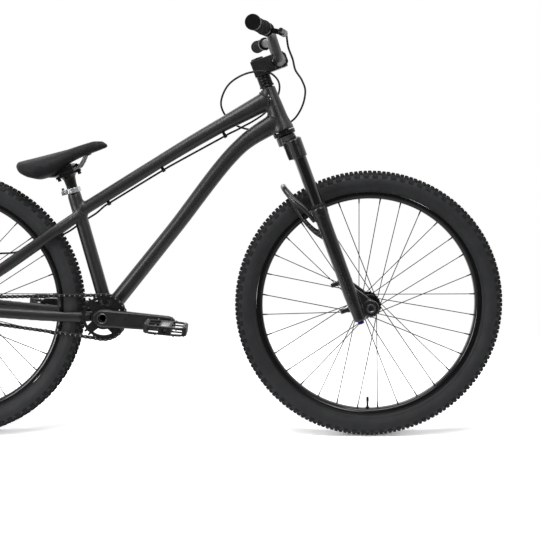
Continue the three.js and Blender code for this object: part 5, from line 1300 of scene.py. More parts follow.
def lacing(flanges, hole_radius):
    """An outer and an inner spoke for each flange, with their nipples: a share that repeats round."""
    spokes, nipples = [], []
    for side, y in flanges:
        for k in (0, 1):
            hole = (k + side / 4) * 2 * math.pi / (SPOKES / 2) - math.pi / 2
            turn = -1 if k else 1
            end = hole + turn * CROSSINGS * 4 * math.pi / SPOKES
            outward = side * turn
            x, z = polar(hole_radius, hole)
            at = Vector((x, 0, z))
            x, z = polar(SPOKE_END, end)
            rim = Vector((x, side * 4.2, z))
            head = at + Vector((0, y - outward * 2.9, 0))
            neck = at + Vector((0, y + outward * 2.2, 0))
            bend = neck + (rim - neck).normalized() * 2.2 + Vector((0, outward * 0.9, 0))
            along = (rim - bend).normalized()
            start = rim - along * 12
            spokes.append(round_tube([head, neck, bend, bend + (start - bend) * 0.5, start], SPOKE_RADIUS, 6))
            spokes.append(rod(head - Vector((0, outward * 0.9, 0)), head, 1.9, 8, 1.2))
            nipples.append(rod(start - along * 1.5, rim, 1.5, 8, 2.1))
    return joined(*spokes), joined(*nipples)


def valve_shape(centre):
    """The valve at the foot of the wheel, with its nut and its cap."""
    stalk = rod((0, 0, -271), (0, 0, -243), 2.7, 20)
    nut = rod((0, 0, -269), (0, 0, -266), 5.2, 6)
    cap = rod((0, 0, -252), (0, 0, -240), 3.6, 12, 3.1)
    return moved(joined(stalk, nut, cap), Matrix.Translation(centre))


FLANGE_BORE = 14
FLANGE_HALF = 1.9
FLANGE_DIP = 1.7
FLANGE_STEPS = 192
FLANGE_WINDOWS = 8


def flange_plate(y, radius):
    """A spoke flange: scalloped at its rim, with a ring of round windows."""
    outer = []
    for i in range(FLANGE_STEPS):
        angle = 2 * math.pi * i / FLANGE_STEPS
        dip = max(0.0, math.cos(SPOKES // 2 * angle)) ** 3
        outer.append(polar(radius - FLANGE_DIP * dip, angle))
    windows = [circle_outline(2.2, 14, polar(radius * 0.645, 2 * math.pi * (i + 0.5) / FLANGE_WINDOWS))
               for i in range(FLANGE_WINDOWS)]
    return plate([outer, circle_outline(FLANGE_BORE, 48)] + windows, y - FLANGE_HALF, y + FLANGE_HALF)


def plate(outlines, low, high):
    """A flat plate with openings: (x, z) outlines, the outer one first, with thickness along Y."""
    curve = bpy.data.curves.new("outline", "CURVE")
    curve.dimensions = "2D"
    curve.fill_mode = "BOTH"
    curve.extrude = (high - low) / 2 * MM
    for outline in outlines:
        spline = curve.splines.new("POLY")
        spline.points.add(len(outline) - 1)
        for point, (x, z) in zip(spline.points, outline):
            point.co = (x * MM, z * MM, 0, 1)
        spline.use_cyclic_u = True
    holder = bpy.data.objects.new("outline", curve)
    bpy.context.scene.collection.objects.link(holder)
    graph = bpy.context.evaluated_depsgraph_get()
    mesh = bpy.data.meshes.new_from_object(holder.evaluated_get(graph))
    middle = (low + high) / 2
    points = [Vector((v.co.x / MM, middle + v.co.z / MM, v.co.y / MM)) for v in mesh.vertices]
    faces = [tuple(f.vertices) for f in mesh.polygons]
    bpy.data.meshes.remove(mesh)
    bpy.data.objects.remove(holder)
    return points, faces


def wheel(end, centre, body, flanges, flange_radius, hub):
    """One wheel: tyre, tread, rim, hub shell with flanges, spokes, nipples and valve."""
    place = Matrix.Translation(centre)
    look = bpy.context.scene.bike_wheels
    piece(end + "_casing", moved(lathe(tyre_section(), look.rim_steps), place), body, "casing",
          [end + "_tyre"], angle=50)
    tread(end + "_tread", centre, body)
    piece(end + "_rim_skin", moved(lathe(rim_section(), look.rim_steps), place), body, "rim",
          [end + "_rim"], angle=40)
    shell = [lathe(hub, 64)] + [flange_plate(y, flange_radius) for _, y in flanges]
    piece(end + "_hub_shell", moved(joined(*shell), place), body, "hub", [end + "_hub"],
          angle=32)
    spokes, nipples = lacing(flanges, SPOKE_CIRCLE)
    repeats = SPOKES // 4
    round_piece(end + "_spokes", spokes, repeats, centre, body, "wire", angle=60)
    round_piece(end + "_nipples", nipples, repeats, centre, body, "hub")
    piece(end + "_valve", valve_shape(centre), body, "hub")


FRONT_HUB = [(10.2, -54.6), (14.2, -54.6), (15, -53.8), (15, -46), (17.2, -44.6), (18.4, -36),
             (21.6, -30.2), (22.4, -26), (19.2, -22.4), (17, -17), (16.2, 0), (17, 17), (19.2, 22.4),
             (22.4, 26), (21.6, 30.2), (18.4, 36), (17.2, 44.6), (15, 46), (15, 53.8), (14.2, 54.6),
             (10.2, 54.6), (10.2, -54.6)]
REAR_HUB = [(6.4, -43.8), (12, -43.8), (13.2, -34), (17.6, -29.5), (21.6, -26.4), (22.4, -22),
            (19.6, -18.6), (17, -12), (16.2, 4), (17.2, 21), (20, 28.2), (22.4, 31), (21.6, 35.4),
            (19.2, 38), (18.8, 49.4), (15, 49.9), (13, 54), (12, 67), (6.4, 67), (6.4, -43.8)]


ROTOR_RADIUS = 79.9
ROTOR_INSIDE, ROTOR_OUTSIDE = 50.1, 51.9
ROTOR_STEPS = 240
ROTOR_WAVES = 12
ROTOR_ARMS = 5
ROTOR_HOLES = 36
ROTOR_BOLTS = 6


def rotor():
    """The rear disc: a waved edge, drilled holes, leaning arms and its bolts."""
    outer = []
    for i in range(ROTOR_STEPS):
        angle = 2 * math.pi * i / ROTOR_STEPS
        outer.append(polar(ROTOR_RADIUS - 1.5 * (0.5 + 0.5 * math.cos(ROTOR_WAVES * angle)) ** 4, angle))
    openings = [circle_outline(12.5, 40)]
    for arm in range(ROTOR_ARMS):
        start = 2 * math.pi * arm / ROTOR_ARMS
        span = 2 * math.pi / ROTOR_ARMS
        edge = [polar(66, start + 0.07 + (span - 0.14) * j / 14) for j in range(15)]
        foot = [polar(25.5, start - 0.42 + 0.19 + (span - 0.38) * j / 8) for j in range(8, -1, -1)]
        openings.append(edge + foot)
    for i in range(ROTOR_HOLES):
        place = polar(71.5 + 2.6 * (i % 3 - 1), 2 * math.pi * i / ROTOR_HOLES)
        openings.append(circle_outline(1.9, 10, place))
    disc = plate([outer] + openings, ROTOR_INSIDE, ROTOR_OUTSIDE)
    piece("rotor_disc", moved(disc, REAR), "rear_wheel", "rotor", ["brake_rotor"], angle=30)
    marks = []
    for i in range(ROTOR_BOLTS):
        x, z = polar(18.5, 2 * math.pi * i / ROTOR_BOLTS)
        marks.append(facing(REAR_AXLE + Vector((x, ROTOR_OUTSIDE, z)), (0, 1, 0)))
    marked_piece("rotor_bolts", socket_head(3.4, 1.6, 1.5, 1.2, 0.4, 18), marks, "rear_wheel",
                 "steel")


def rear_axle():
    """The rear axle: a shaft with a socket head outside each dropout."""
    heads = []
    for side in (-1, 1):
        place = facing(REAR_AXLE + Vector((0, side * 75, 0)), (0, side, 0))
        heads.append(moved(socket_head(10.4, 5.6, 3.1, 4, 0.3, 36), place))
    heads.append(moved(disc_shape(5.9, -75, 75, 32), REAR))
    piece("rear_axle_skin", joined(*heads), "frame", "axle", ["rear_axle"])


# Each pad's inner and outer face, as places along Y
PAD_FACES = {"right": (49.7, 47.0), "left": (52.3, 55.0)}


def rear_brake():
    """The caliper between the stays, and the two pads with their backing plates."""
    softened("caliper_skin", ["brake_caliper"], "frame", "anodised", 0.9, 5)
    for name, (near, far) in PAD_FACES.items():
        node = "brake_pad_" + name
        points, faces = node_shape(node)
        split = near + (far - near) * 0.5
        middle = sum(points, Vector()) / len(points)
        plate_points = [Vector((p.x, far if abs(p.y - far) < 0.5 else split, p.z)) for p in points]
        pad_points = []
        for p in points:
            flat = middle + (p - middle) * 0.9
            pad_points.append(Vector((flat.x, split if abs(p.y - far) < 0.5 else near, flat.z)))
        piece(node + "_plate", (plate_points, faces), name + "_pad", "steel", [node], bevel=0.2)
        piece(node + "_lining", (pad_points, faces), name + "_pad", "lining", bevel=0.2)


# Drivetrain

CHAIN_Y = -48.0
COG_HALF = 1.2
PITCH = 12.7
RING_RADIUS = 56.7144
SPROCKET_RADIUS = 24.5345
RING_TEETH = 28
SPROCKET_TEETH = 12
LINKS = 82
# The turn at which the upper run leaves both wheels, and how many pitches of the chain lie on the ring
TOP_TURN = 1.42493
RING_ARC = 14.7318
LOW_TURN = TOP_TURN - RING_ARC / RING_TEETH * 2 * math.pi
SPROCKET_PHASE = -2.13079


def chain_pins():
    """The chain's pin centres: round the ring, back along the lower run, round the sprocket and home."""
    def on(centre, radius, turn):
        return centre + Vector((radius * math.cos(turn), 0, radius * math.sin(turn)))
    ring_low = on(BRACKET, RING_RADIUS, LOW_TURN)
    cog_low = on(REAR_AXLE, SPROCKET_RADIUS, LOW_TURN)
    cog_top = on(REAR_AXLE, SPROCKET_RADIUS, TOP_TURN)
    ring_top = on(BRACKET, RING_RADIUS, TOP_TURN)
    straight = (ring_low - cog_low).length / PITCH
    cog_arc = LINKS - RING_ARC - 2 * straight
    pins = []
    for i in range(LINKS):
        if i < RING_ARC:
            p = on(BRACKET, RING_RADIUS, TOP_TURN - i / RING_TEETH * 2 * math.pi)
        elif i < RING_ARC + straight:
            p = ring_low.lerp(cog_low, (i - RING_ARC) / straight)
        elif i < RING_ARC + straight + cog_arc:
            s = i - RING_ARC - straight
            p = on(REAR_AXLE, SPROCKET_RADIUS, LOW_TURN - s / SPROCKET_TEETH * 2 * math.pi)
        else:
            p = cog_top.lerp(ring_top, (i - RING_ARC - straight - cog_arc) / straight)
        pins.append(p + Vector((0, CHAIN_Y, 0)))
    return pins


PLATE_END_RADIUS = 4.2
ROLLER_RADIUS = 3.7


def link_outline():
    """A side plate seen from the side: two round ends and a narrower waist."""
    points = []
    for centre, start in ((PITCH / 2, -math.pi / 2), (-PITCH / 2, math.pi / 2)):
        for j in range(9):
            x, z = polar(PLATE_END_RADIUS, start + math.pi * j / 8)
            points.append((centre + x, z))
        sign = 1 if start < 0 else -1
        points.append((sign * 2.2, sign * 3.2))
        points.append((-sign * 2.2, sign * 3.2))
    return points


def chain():
    """The links: narrow inner plates with rollers, wide outer plates, and a bright pin at each joint."""
    pins = chain_pins()
    inner_marks, outer_marks, pin_marks = [], [], []
    for i, pin in enumerate(pins):
        after = pins[(i + 1) % LINKS]
        mark = Matrix.Rotation(-math.atan2(after.z - pin.z, after.x - pin.x), 4, "Y")
        mark.translation = (pin + after) / 2
        (inner_marks if i % 2 else outer_marks).append(mark)
        pin_marks.append(Matrix.Translation(pin))
    outline = link_outline()
    roller = disc_shape(ROLLER_RADIUS, -1.7, 1.7, 16)
    inner = joined(prism(outline, 1.75, 2.95), prism(outline, -2.95, -1.75),
                   *[moved(roller, Matrix.Translation((side * PITCH / 2, 0, 0))) for side in (-1, 1)])
    outer = joined(prism(outline, 3.05, 4.15), prism(outline, -4.15, -3.05))
    marked_piece("chain_inner_links", inner, inner_marks, "frame", "chain", ["chain"], 0.25)
    marked_piece("chain_outer_links", outer, outer_marks, "frame", "chain", bevel=0.25)
    pin = lathe([(0, -4.8), (1.6, -4.8), (1.9, -4.5), (1.9, 4.5), (1.6, 4.8), (0, 4.8)], 12)
    marked_piece("chain_pins", pin, pin_marks, "frame", "pin")


def toothed(teeth, pitch_radius, phase):
    """The outline of a toothed wheel, with a rounded hollow for each roller."""
    root = pitch_radius - 4.25
    tip = pitch_radius + 3.4
    flank = [(3.0, root + 0.4), (2.5, pitch_radius - 1), (1.9, pitch_radius + 1.6), (1.1, tip - 0.2)]
    tooth = [(-across, radius) for across, radius in flank] + flank[::-1]
    points = []
    for i in range(teeth):
        middle = phase + (i + 0.5) / teeth * 2 * math.pi
        points += [polar(radius, middle + across / radius) for across, radius in tooth]
        points.append(polar(root, phase + (i + 1) / teeth * 2 * math.pi))
    return points


def ring_window(start, span, inner, outer):
    """One rounded window between two arms of the chainring."""
    edge = [polar(outer, start + span * j / 12) for j in range(13)]
    foot = [polar(inner, start + span * (0.14 + 0.72 * j / 8)) for j in range(8, -1, -1)]
    return edge + foot


# One arm of the chainring stands at this angle from the right, and takes this much on each side of it
FIRST_ARM = math.radians(-4) + math.pi / 4
ARM_HALF_ANGLE = 0.24


def chainring():
    """The chainring: teeth, and four windows between the arms of its spider."""
    openings = [circle_outline(17, 48)]
    for arm in range(4):
        start = FIRST_ARM + arm * math.pi / 2 + ARM_HALF_ANGLE
        openings.append(ring_window(start, math.pi / 2 - 2 * ARM_HALF_ANGLE, 31, 45.5))
    teeth = toothed(RING_TEETH, RING_RADIUS, TOP_TURN)
    ring = plate([teeth] + openings, CHAIN_Y - COG_HALF, CHAIN_Y + COG_HALF)
    piece("ring_plate", moved(ring, CRANKS), "cranks", "ring", ["chainring"], angle=30)


def sprocket():
    """The small sprocket on its driver, whose shoulder shows on both sides of it."""
    teeth = toothed(SPROCKET_TEETH, SPROCKET_RADIUS, SPROCKET_PHASE)
    cog = plate([teeth, circle_outline(16.5, 40)], CHAIN_Y - COG_HALF, CHAIN_Y + COG_HALF)
    driver = lathe([(6.4, -67), (11.4, -67), (11.6, -66), (11.6, -53.4), (17, -52.8), (17, -44.6),
                    (6.4, -44.6), (6.4, -67)], 48)
    piece("sprocket_skin", moved(joined(cog, driver), REAR), "drive_sprocket", "steel",
          ["sprocket"], angle=30)


# The bearing cups have notches for a tool round their edge: two of every six steps lie lower
CUP_RADIUS, CUP_NOTCH, CUP_STEPS = 21.9, 0.9, 96


def crankset():
    """Forged arms on a hollow spindle, the notched bearing cups and the left arm's cap."""
    socket = moved(disc_shape(10.6, -80, -60, 40), CRANKS)
    softened("crank_skin_right", ["crank_arm_right"], "cranks", "crank", 1.0, 8, socket)
    rim = lathe([(10.7, -70.2), (12.4, -70.2), (12.4, -72.0), (12.0, -72.4), (11.1, -72.4), (10.7, -72.0),
                 (10.7, -70.2)], 48)
    piece("spindle_end", moved(rim, CRANKS), "cranks", "steel")
    softened("crank_skin_left", ["crank_arm_left"], "cranks", "crank", 1.0, 8)
    for side, name in SIDES:
        notched = [polar(CUP_RADIUS - (CUP_NOTCH if i % 6 < 2 else 0), 2 * math.pi * i / CUP_STEPS)
                   for i in range(CUP_STEPS)]
        low, high = sorted((side * 34.4, side * 44.3))
        cup = plate([notched, circle_outline(12.6, 40)], low, high)
        piece("bearing_cup_" + name, moved(cup, CRANKS), "frame", "anodised",
              ["bracket_cup_" + name], bevel=0.3, angle=30)
    cap = moved(socket_head(11, 2.4, 5, 2, 0.3, 36), facing(BRACKET + Vector((0, 71.4, 0)), (0, 1, 0)))
    ring = moved(ring_shape(11.2, 19.2, 71.3, 73.8, 56), CRANKS)
    piece("arm_bolt", joined(cap, ring), "cranks", "anodised", ["crank_cap"], bevel=0.2)


# How far the pedals hang with their front edge down, as the photograph shows
PEDAL_TILT = math.radians(5.5)
PEDAL_OUT = 134.7
PEDAL_PLACES = {"right": (26.17, 303.5), "left": (-303.03, 326.5)}
PEDAL_HALF_LENGTH = 52.0
PEDAL_HALF_WIDTH = 48.0
PEDAL_CORNER = 16.0
PEDAL_RAIL = 11.0
PEDAL_HALF_HEIGHT = 10.2
# Where the traction pins stand on each face, along and across the cage
PEDAL_PINS = ((-46, -26), (-46, 0), (-46, 26), (46, -26), (46, 0), (46, 26), (-22, -42), (22, -42),
              (-22, 42), (22, 42))
# The axle's inner end, both ends of its collar and its outer end, as distances from the middle plane
AXLE_INNER, COLLAR_INNER, COLLAR_OUTER, AXLE_OUTER = 68.6, 82.35, 86.35, 172


def pedal_outlines():
    """The cage seen from above: its cut corners, and two windows on each side of the bearing housing."""
    l, w, corner = PEDAL_HALF_LENGTH, PEDAL_HALF_WIDTH, PEDAL_CORNER
    outer = [(-l + corner, -w), (l - corner, -w), (l, -w + corner), (l, w - corner), (l - corner, w),
             (-l + corner, w), (-l, w - corner), (-l, -w + corner)]
    windows = []
    for side in (-1, 1):
        near, far = side * 15.0, side * (l - PEDAL_RAIL)
        a, b = w - PEDAL_RAIL, w - PEDAL_RAIL - 5
        for low, high in ((-1, -0.06), (0.06, 1)):
            windows.append([(near, low * a), (far, low * b), (far, high * b), (near, high * a)])
    return [outer] + windows


def pedals():
    """Platform pedals: a windowed nylon cage round a bearing housing, traction pins and a steel axle."""
    w = PEDAL_HALF_WIDTH
    for side, name in SIDES:
        axle_x, axle_z = PEDAL_PLACES[name]
        centre = Vector((axle_x, side * PEDAL_OUT, axle_z))
        points, faces = plate(pedal_outlines(), -PEDAL_HALF_HEIGHT, PEDAL_HALF_HEIGHT)
        cage = [Vector((p.x, p.z, p.y)) for p in points], faces
        housing = disc_shape(9.8, -w + 0.3, w - 0.3, 40)
        place = Matrix.Translation(centre) @ Matrix.Rotation(PEDAL_TILT, 4, "Y")
        slots = [block((27, 200, 12.4), (x, 0, 0)) for x in (-28.5, 28.5)]
        cutters = joined(disc_shape(5.9, -60, 60, 32), *slots)
        obj = fused("pedal_cage_" + name, moved(joined(cage, housing), place), 0.95, 4, moved(cutters, place))
        body = name + "_pedal"
        finished(obj, body, "nylon", ["pedal_" + name], 45)
        marks = [place @ facing((u, v, face * 10), (0, 0, face), (0, 1, 0))
                 for u, v in PEDAL_PINS for face in (-1, 1)]
        pin = socket_head(1.9, 3.2, 0.8, 1.0, 0.2, 12)
        marked_piece("pedal_pins_" + name, pin, marks, body, "steel")
        plates = joined(*[block((19, 2 * w - 14, 1.2), (0, 0, face * 10.4)) for face in (-1, 1)])
        piece("pedal_plates_" + name, moved(plates, place), body, "steel", bevel=0.3)

        def along(start, end, radius):
            """A round length of the axle between two distances from the middle plane."""
            low, high = sorted((side * (start - PEDAL_OUT), side * (end - PEDAL_OUT)))
            return disc_shape(radius, low, high, 32)
        axle = joined(along(AXLE_INNER, AXLE_OUTER, 5.4), along(COLLAR_INNER, COLLAR_OUTER, 8.9))
        piece("pedal_spindle_" + name, moved(axle, Matrix.Translation(centre)), "cranks",
              "axle", ["pedal_axle_" + name], bevel=0.4)


# Seat

def seatpost():
    """The seatpost with its forged head, the upper clamp and the rails between them."""
    softened("seatpost_skin", ["seatpost"], "post", "anodised", 1.0, 6)
    softened("rail_clamp_skin", ["saddle_clamp"], "post", "anodised", 0.8, 4)
    softened("saddle_rail_skin", ["saddle_rails"], "seat", "steel", 0.65, 4)


SADDLE_REAR = -114
SADDLE_LENGTH = 235
SADDLE_HALF_WIDTH = 66
SADDLE_HEIGHT = 69
SADDLE_SIDES = 48
SADDLE_RINGS = 56
STITCHES = 60
# The saddle's stations from rear to nose, and at each its half width, its top and its lower edge
LENGTH_SHARES = [0, 0.03, 0.094, 0.2, 0.323, 0.45, 0.57, 0.72, 0.86, 0.953, 1]
WIDTH_SHARES = [0.3, 0.58, 0.88, 1, 0.94, 0.71, 0.47, 0.33, 0.27, 0.2, 0.09]
TOP_SHARES = [0.84, 0.985, 0.96, 0.9, 0.85, 0.8, 0.76, 0.745, 0.715, 0.6, 0.39]
SKIRT_SHARES = [0.7, 0.49, 0.28, 0.06, 0.03, 0.145, 0.26, 0.3, 0.29, 0.29, 0.3]


def station(values, share):
    """A smooth value read from an uneven table of stations along the saddle."""
    for i in range(len(LENGTH_SHARES) - 1):
        if share <= LENGTH_SHARES[i + 1] or i == len(LENGTH_SHARES) - 2:
            low, high = LENGTH_SHARES[i], LENGTH_SHARES[i + 1]
            t = (share - low) / (high - low)
            before = values[max(i - 1, 0)]
            after = values[min(i + 2, len(values) - 1)]
            a, b = values[i], values[i + 1]
            slope_a, slope_b = (b - before) / 2, (after - a) / 2
            eased = t * t * (3 - 2 * t)
            bend = slope_a * t * (1 - t) ** 2 - slope_b * t * t * (1 - t)
            return a + (b - a) * (0.6 * t + 0.4 * eased) + bend * 0.25
    return values[-1]


def saddle_levels(share):
    """The heights of the saddle's lower edge and top at a share of its length."""
    return station(SKIRT_SHARES, share) * SADDLE_HEIGHT, station(TOP_SHARES, share) * SADDLE_HEIGHT


def saddle_ring(share, inset, roof, floor):
    """A cross section of the saddle, its sides, top and lower edge drawn in by a little."""
    x = SADDLE_REAR + share * SADDLE_LENGTH
    half = station(WIDTH_SHARES, share) * SADDLE_HALF_WIDTH * (1 - inset)
    low, high = saddle_levels(share)
    low, high = low + floor, high - roof
    ring = []
    for j in range(SADDLE_SIDES):
        c, d = polar(1, 2 * math.pi * (j + 0.5) / SADDLE_SIDES)
        across = math.copysign(abs(c) ** 0.8, c)
        over = math.copysign(abs(d) ** (1.05 if d > 0 else 0.5), d)
        ring.append(Vector((x, half * across, (high + low) / 2 + (high - low) / 2 * over)))
    return ring


SWELL_FRAMES = 20


def swollen(obj, pressure, cap, held):
    """Blows a remeshed cover up a little by cloth pressure, with its lower edge held."""
    rest = [v.co.copy() for v in obj.data.vertices]
    group = obj.vertex_groups.new(name="held")
    for vertex in obj.data.vertices:
        group.add([vertex.index], held(vertex.co / MM), "REPLACE")
    scene = bpy.context.scene
    swell = obj.modifiers.new("Swell", "CLOTH")
    swell.settings.use_pressure = True
    swell.settings.uniform_pressure_force = pressure
    swell.settings.effector_weights.gravity = 0
    swell.settings.vertex_group_mass = "held"
    swell.settings.quality = 6
    swell.point_cache.frame_start = 1
    swell.point_cache.frame_end = SWELL_FRAMES
    for step in range(1, SWELL_FRAMES + 1):
        scene.frame_set(step)
    baked(obj)
    scene.frame_set(1)
    for vertex, start in zip(obj.data.vertices, rest):
        move = vertex.co - start
        if move.length > cap * MM:
            vertex.co = start + move.normalized() * cap * MM
    obj.vertex_groups.clear()


def saddle():
    """A padded cover blown up a little, the rail sockets under it and a row of stitches on each side."""
    size = bpy.context.scene.bike_saddle
    shares = [0.012 + 0.976 * i / SADDLE_RINGS for i in range(SADDLE_RINGS + 1)]
    cover = mesh_object("saddle_cover", moved(loft([saddle_ring(s, 0.03, 1.6, 0.8) for s in shares]), PERCH))
    reskinned(cover, size.cloth_step)
    to_perch = PERCH.inverted()

    def held(point):
        local = to_perch @ point
        low, high = saddle_levels(min(max((local.x - SADDLE_REAR) / SADDLE_LENGTH, 0), 1))
        return 1.0 if local.z < low + (high - low) * 0.3 else 0.0
    swollen(cover, size.pressure, 3.0, held)
    relaxed(cover, 4)
    fine = cover.modifiers.new("Fine", "SUBSURF")
    fine.levels = fine.render_levels = 1
    baked(cover)
    finished(cover, "seat", "leather", ["saddle"], 75)
    sockets = [block((13, 14, 26), (-72, side * 28.6, 33)) for side in (-1, 1)]
    sockets.append(block((17, 34, 22), (62, 0, 30)))
    piece("saddle_base_sockets", moved(joined(*sockets), PERCH), "seat", "nylon", bevel=1.6)
    marks = []
    for side in (-1, 1):
        places = []
        for i in range(STITCHES + 1):
            share = 0.05 + 0.9 * i / STITCHES
            low, high = saddle_levels(share)
            guess = PERCH @ Vector((SADDLE_REAR + SADDLE_LENGTH * share,
                                    side * station(WIDTH_SHARES, share) * 70, low + (high - low) * 0.36))
            found, point, normal, _ = cover.closest_point_on_mesh(guess * MM)
            if found:
                places.append(point / MM + normal * 0.15)
        for a, b in zip(places, places[1:]):
            marks.append(facing((a + b) / 2, b - a))
    stitch = lathe([(0, -1.3), (0.4, -1), (0.5, 0), (0.4, 1), (0, 1.3)], 6)
    marked_piece("saddle_stitches", stitch, marks, "seat", "grip", angle=80)


# The stage

WHITE = (1, 1, 1, 1)
FLOOR_HALF = 9000
# Lamps: name, place, aim, length, width, the setting that gives its power and its share of that
LAMPS = (
    ("overhead", (0.0, -0.9, 2.7), (0, 0, 0.4), 2.8, 0.9, "top_power", 1.0),
    ("front", (1.6, -3.6, 2.2), (0.1, 0, 0.5), 0.9, 1.1, "front_power", 1.0),
    ("side", (-2.5, -1.9, 0.9), (0.3, 0, 0.5), 0.4, 1.8, "side_power", 1.0),
    ("back", (-0.6, 2.6, 2.4), (0, 0, 0.5), 1.6, 1.2, "front_power", 0.5),
)


def ray_masks(tree):
    """Whether a ray comes from the camera, and whether it comes from a mirror or through glass."""
    path = add(tree, "ShaderNodeLightPath")
    inputs = {0: path.outputs["Is Glossy Ray"], 1: path.outputs["Is Transmission Ray"]}
    mirror = add(tree, "ShaderNodeMath", inputs, operation="MAXIMUM")
    return path.outputs["Is Camera Ray"], mirror.outputs["Value"]


def depth_of(tree, point):
    """The Y part of a point or direction, which grows away from the camera."""
    return add(tree, "ShaderNodeSeparateXYZ", {"Vector": point}).outputs["Y"]


def mixed(tree, share, first, second):
    """One shader, and another by a share."""
    return add(tree, "ShaderNodeMixShader", {0: share, 1: first, 2: second}).outputs["Shader"]


def studio_floor(look):
    """Softly lit for the camera near the bike and white farther out. Mirrors see it dim in front."""
    material = bpy.data.materials.new("Matt white studio floor")
    material.use_nodes = True
    tree = material.node_tree
    tree.nodes.clear()
    camera_ray, mirror_ray = ray_masks(tree)
    place = add(tree, "ShaderNodeTexCoord").outputs["Object"]
    paint = add(tree, "ShaderNodeBsdfDiffuse", {"Color": linear(look.floor)})
    gain = look.floor_gain
    lit = add(tree, "ShaderNodeBsdfDiffuse", {"Color": (gain, gain, gain, 1)})
    white = add(tree, "ShaderNodeEmission", {"Color": WHITE, "Strength": 1.0})
    away = add(tree, "ShaderNodeVectorMath", {0: place}, operation="LENGTH")
    far = graded(tree, away.outputs["Value"], look.shadow_reach, look.shadow_reach * 1.7)
    seen = mixed(tree, far, lit.outputs["BSDF"], white.outputs["Emission"])
    glow = graded(tree, depth_of(tree, place), -1.3, -0.1, look.room)
    shown = add(tree, "ShaderNodeEmission", {"Color": WHITE, "Strength": glow})
    bounced = mixed(tree, mirror_ray, paint.outputs["BSDF"], shown.outputs["Emission"])
    out = add(tree, "ShaderNodeOutputMaterial")
    tree.links.new(mixed(tree, camera_ray, bounced, seen), out.inputs["Surface"])
    return material


def studio_world(look):
    """White for the camera and a soft sky for light. Mirrors see it white behind and dim in front."""
    world = bpy.data.worlds.new("Studio")
    world.use_nodes = True
    tree = world.node_tree
    tree.nodes.clear()
    camera_ray, mirror_ray = ray_masks(tree)
    ray = add(tree, "ShaderNodeTexCoord").outputs["Generated"]
    dim = add(tree, "ShaderNodeBackground", {"Color": WHITE, "Strength": look.sky})
    glow = graded(tree, depth_of(tree, ray), -0.7, 0.15, look.room)
    shown = add(tree, "ShaderNodeBackground", {"Color": WHITE, "Strength": glow})
    bounced = mixed(tree, mirror_ray, dim.outputs["Background"], shown.outputs["Background"])
    white = add(tree, "ShaderNodeBackground", {"Color": WHITE, "Strength": 1.0})
    out = add(tree, "ShaderNodeOutputWorld")
    tree.links.new(mixed(tree, camera_ray, bounced, white.outputs["Background"]), out.inputs["Surface"])
    return world


def stage():
    """A pale floor and backdrop that stay white, soft studio lamps and the camera of the view."""
    look = bpy.context.scene.bike_stage
    scene = bpy.context.scene
    corners = [(-FLOOR_HALF, -FLOOR_HALF, 0), (FLOOR_HALF, -FLOOR_HALF, 0), (FLOOR_HALF, FLOOR_HALF, 0),
               (-FLOOR_HALF, FLOOR_HALF, 0)]
    floor = mesh_object("floor", (corners, [(0, 1, 2, 3)]))
    floor.data.materials.append(studio_floor(look))
    scene.world = studio_world(look)
    for name, place, aim, length, width, setting, share in LAMPS:
        lamp = bpy.data.lights.new(name, "AREA")
        lamp.shape = "RECTANGLE"
        lamp.size = length
        lamp.size_y = width
        lamp.energy = getattr(look, setting) * share
        obj = bpy.data.objects.new(name, lamp)
        obj.location = place
        obj.rotation_euler = (Vector(aim) - Vector(place)).to_track_quat("-Z", "Y").to_euler()
        scene.collection.objects.link(obj)
    camera = bpy.data.cameras.new("view")
    camera.sensor_width = 36
    camera.lens = look.lens
    camera.clip_end = 100
    obj = bpy.data.objects.new("view", camera)
    obj.location = look.camera_place
    obj.rotation_euler = look.camera_turn
    scene.collection.objects.link(obj)
    scene.camera = obj
    scene.view_settings.view_transform = "Standard"


# Settings

class BikeFrameSettings(bpy.types.PropertyGroup):
    """Sizes and colour of the welded frame."""
    paint: bpy.props.StringProperty(
        name="Paint", description="sRGB hex colour of the coat's darker tone", default="#121213")
    paint_light: bpy.props.StringProperty(
        name="Light paint", description="sRGB hex colour of the coat's lighter tone", default="#171718")
    skin_step: bpy.props.FloatProperty(
        name="Skin step", description="Cell of the welded skin, in millimetres", default=2.35, min=1.0)
    weld_step: bpy.props.FloatProperty(
        name="Weld step", description="Distance between weld ripples, in millimetres", default=2.2, min=1.0)
    weld_width: bpy.props.FloatProperty(
        name="Weld width", description="Half width of a weld ripple, in millimetres", default=2.3, min=0.5)


class BikeWheelSettings(bpy.types.PropertyGroup):
    """Counts of the wheels."""
    tread_pitches: bpy.props.IntProperty(
        name="Tread pitches", description="Repeats of the tread pattern round a tyre", default=90, min=12)
    rim_steps: bpy.props.IntProperty(
        name="Round steps", description="Facets round a rim or a tyre", default=160, min=24)


class BikeSaddleSettings(bpy.types.PropertyGroup):
    """How the saddle's cover is blown up."""
    cloth_step: bpy.props.FloatProperty(
        name="Cloth step", description="Cell of the cover before it swells", default=0.004, unit="LENGTH")
    pressure: bpy.props.FloatProperty(
        name="Pressure", description="Cloth pressure in the cover", default=4.0, min=0)


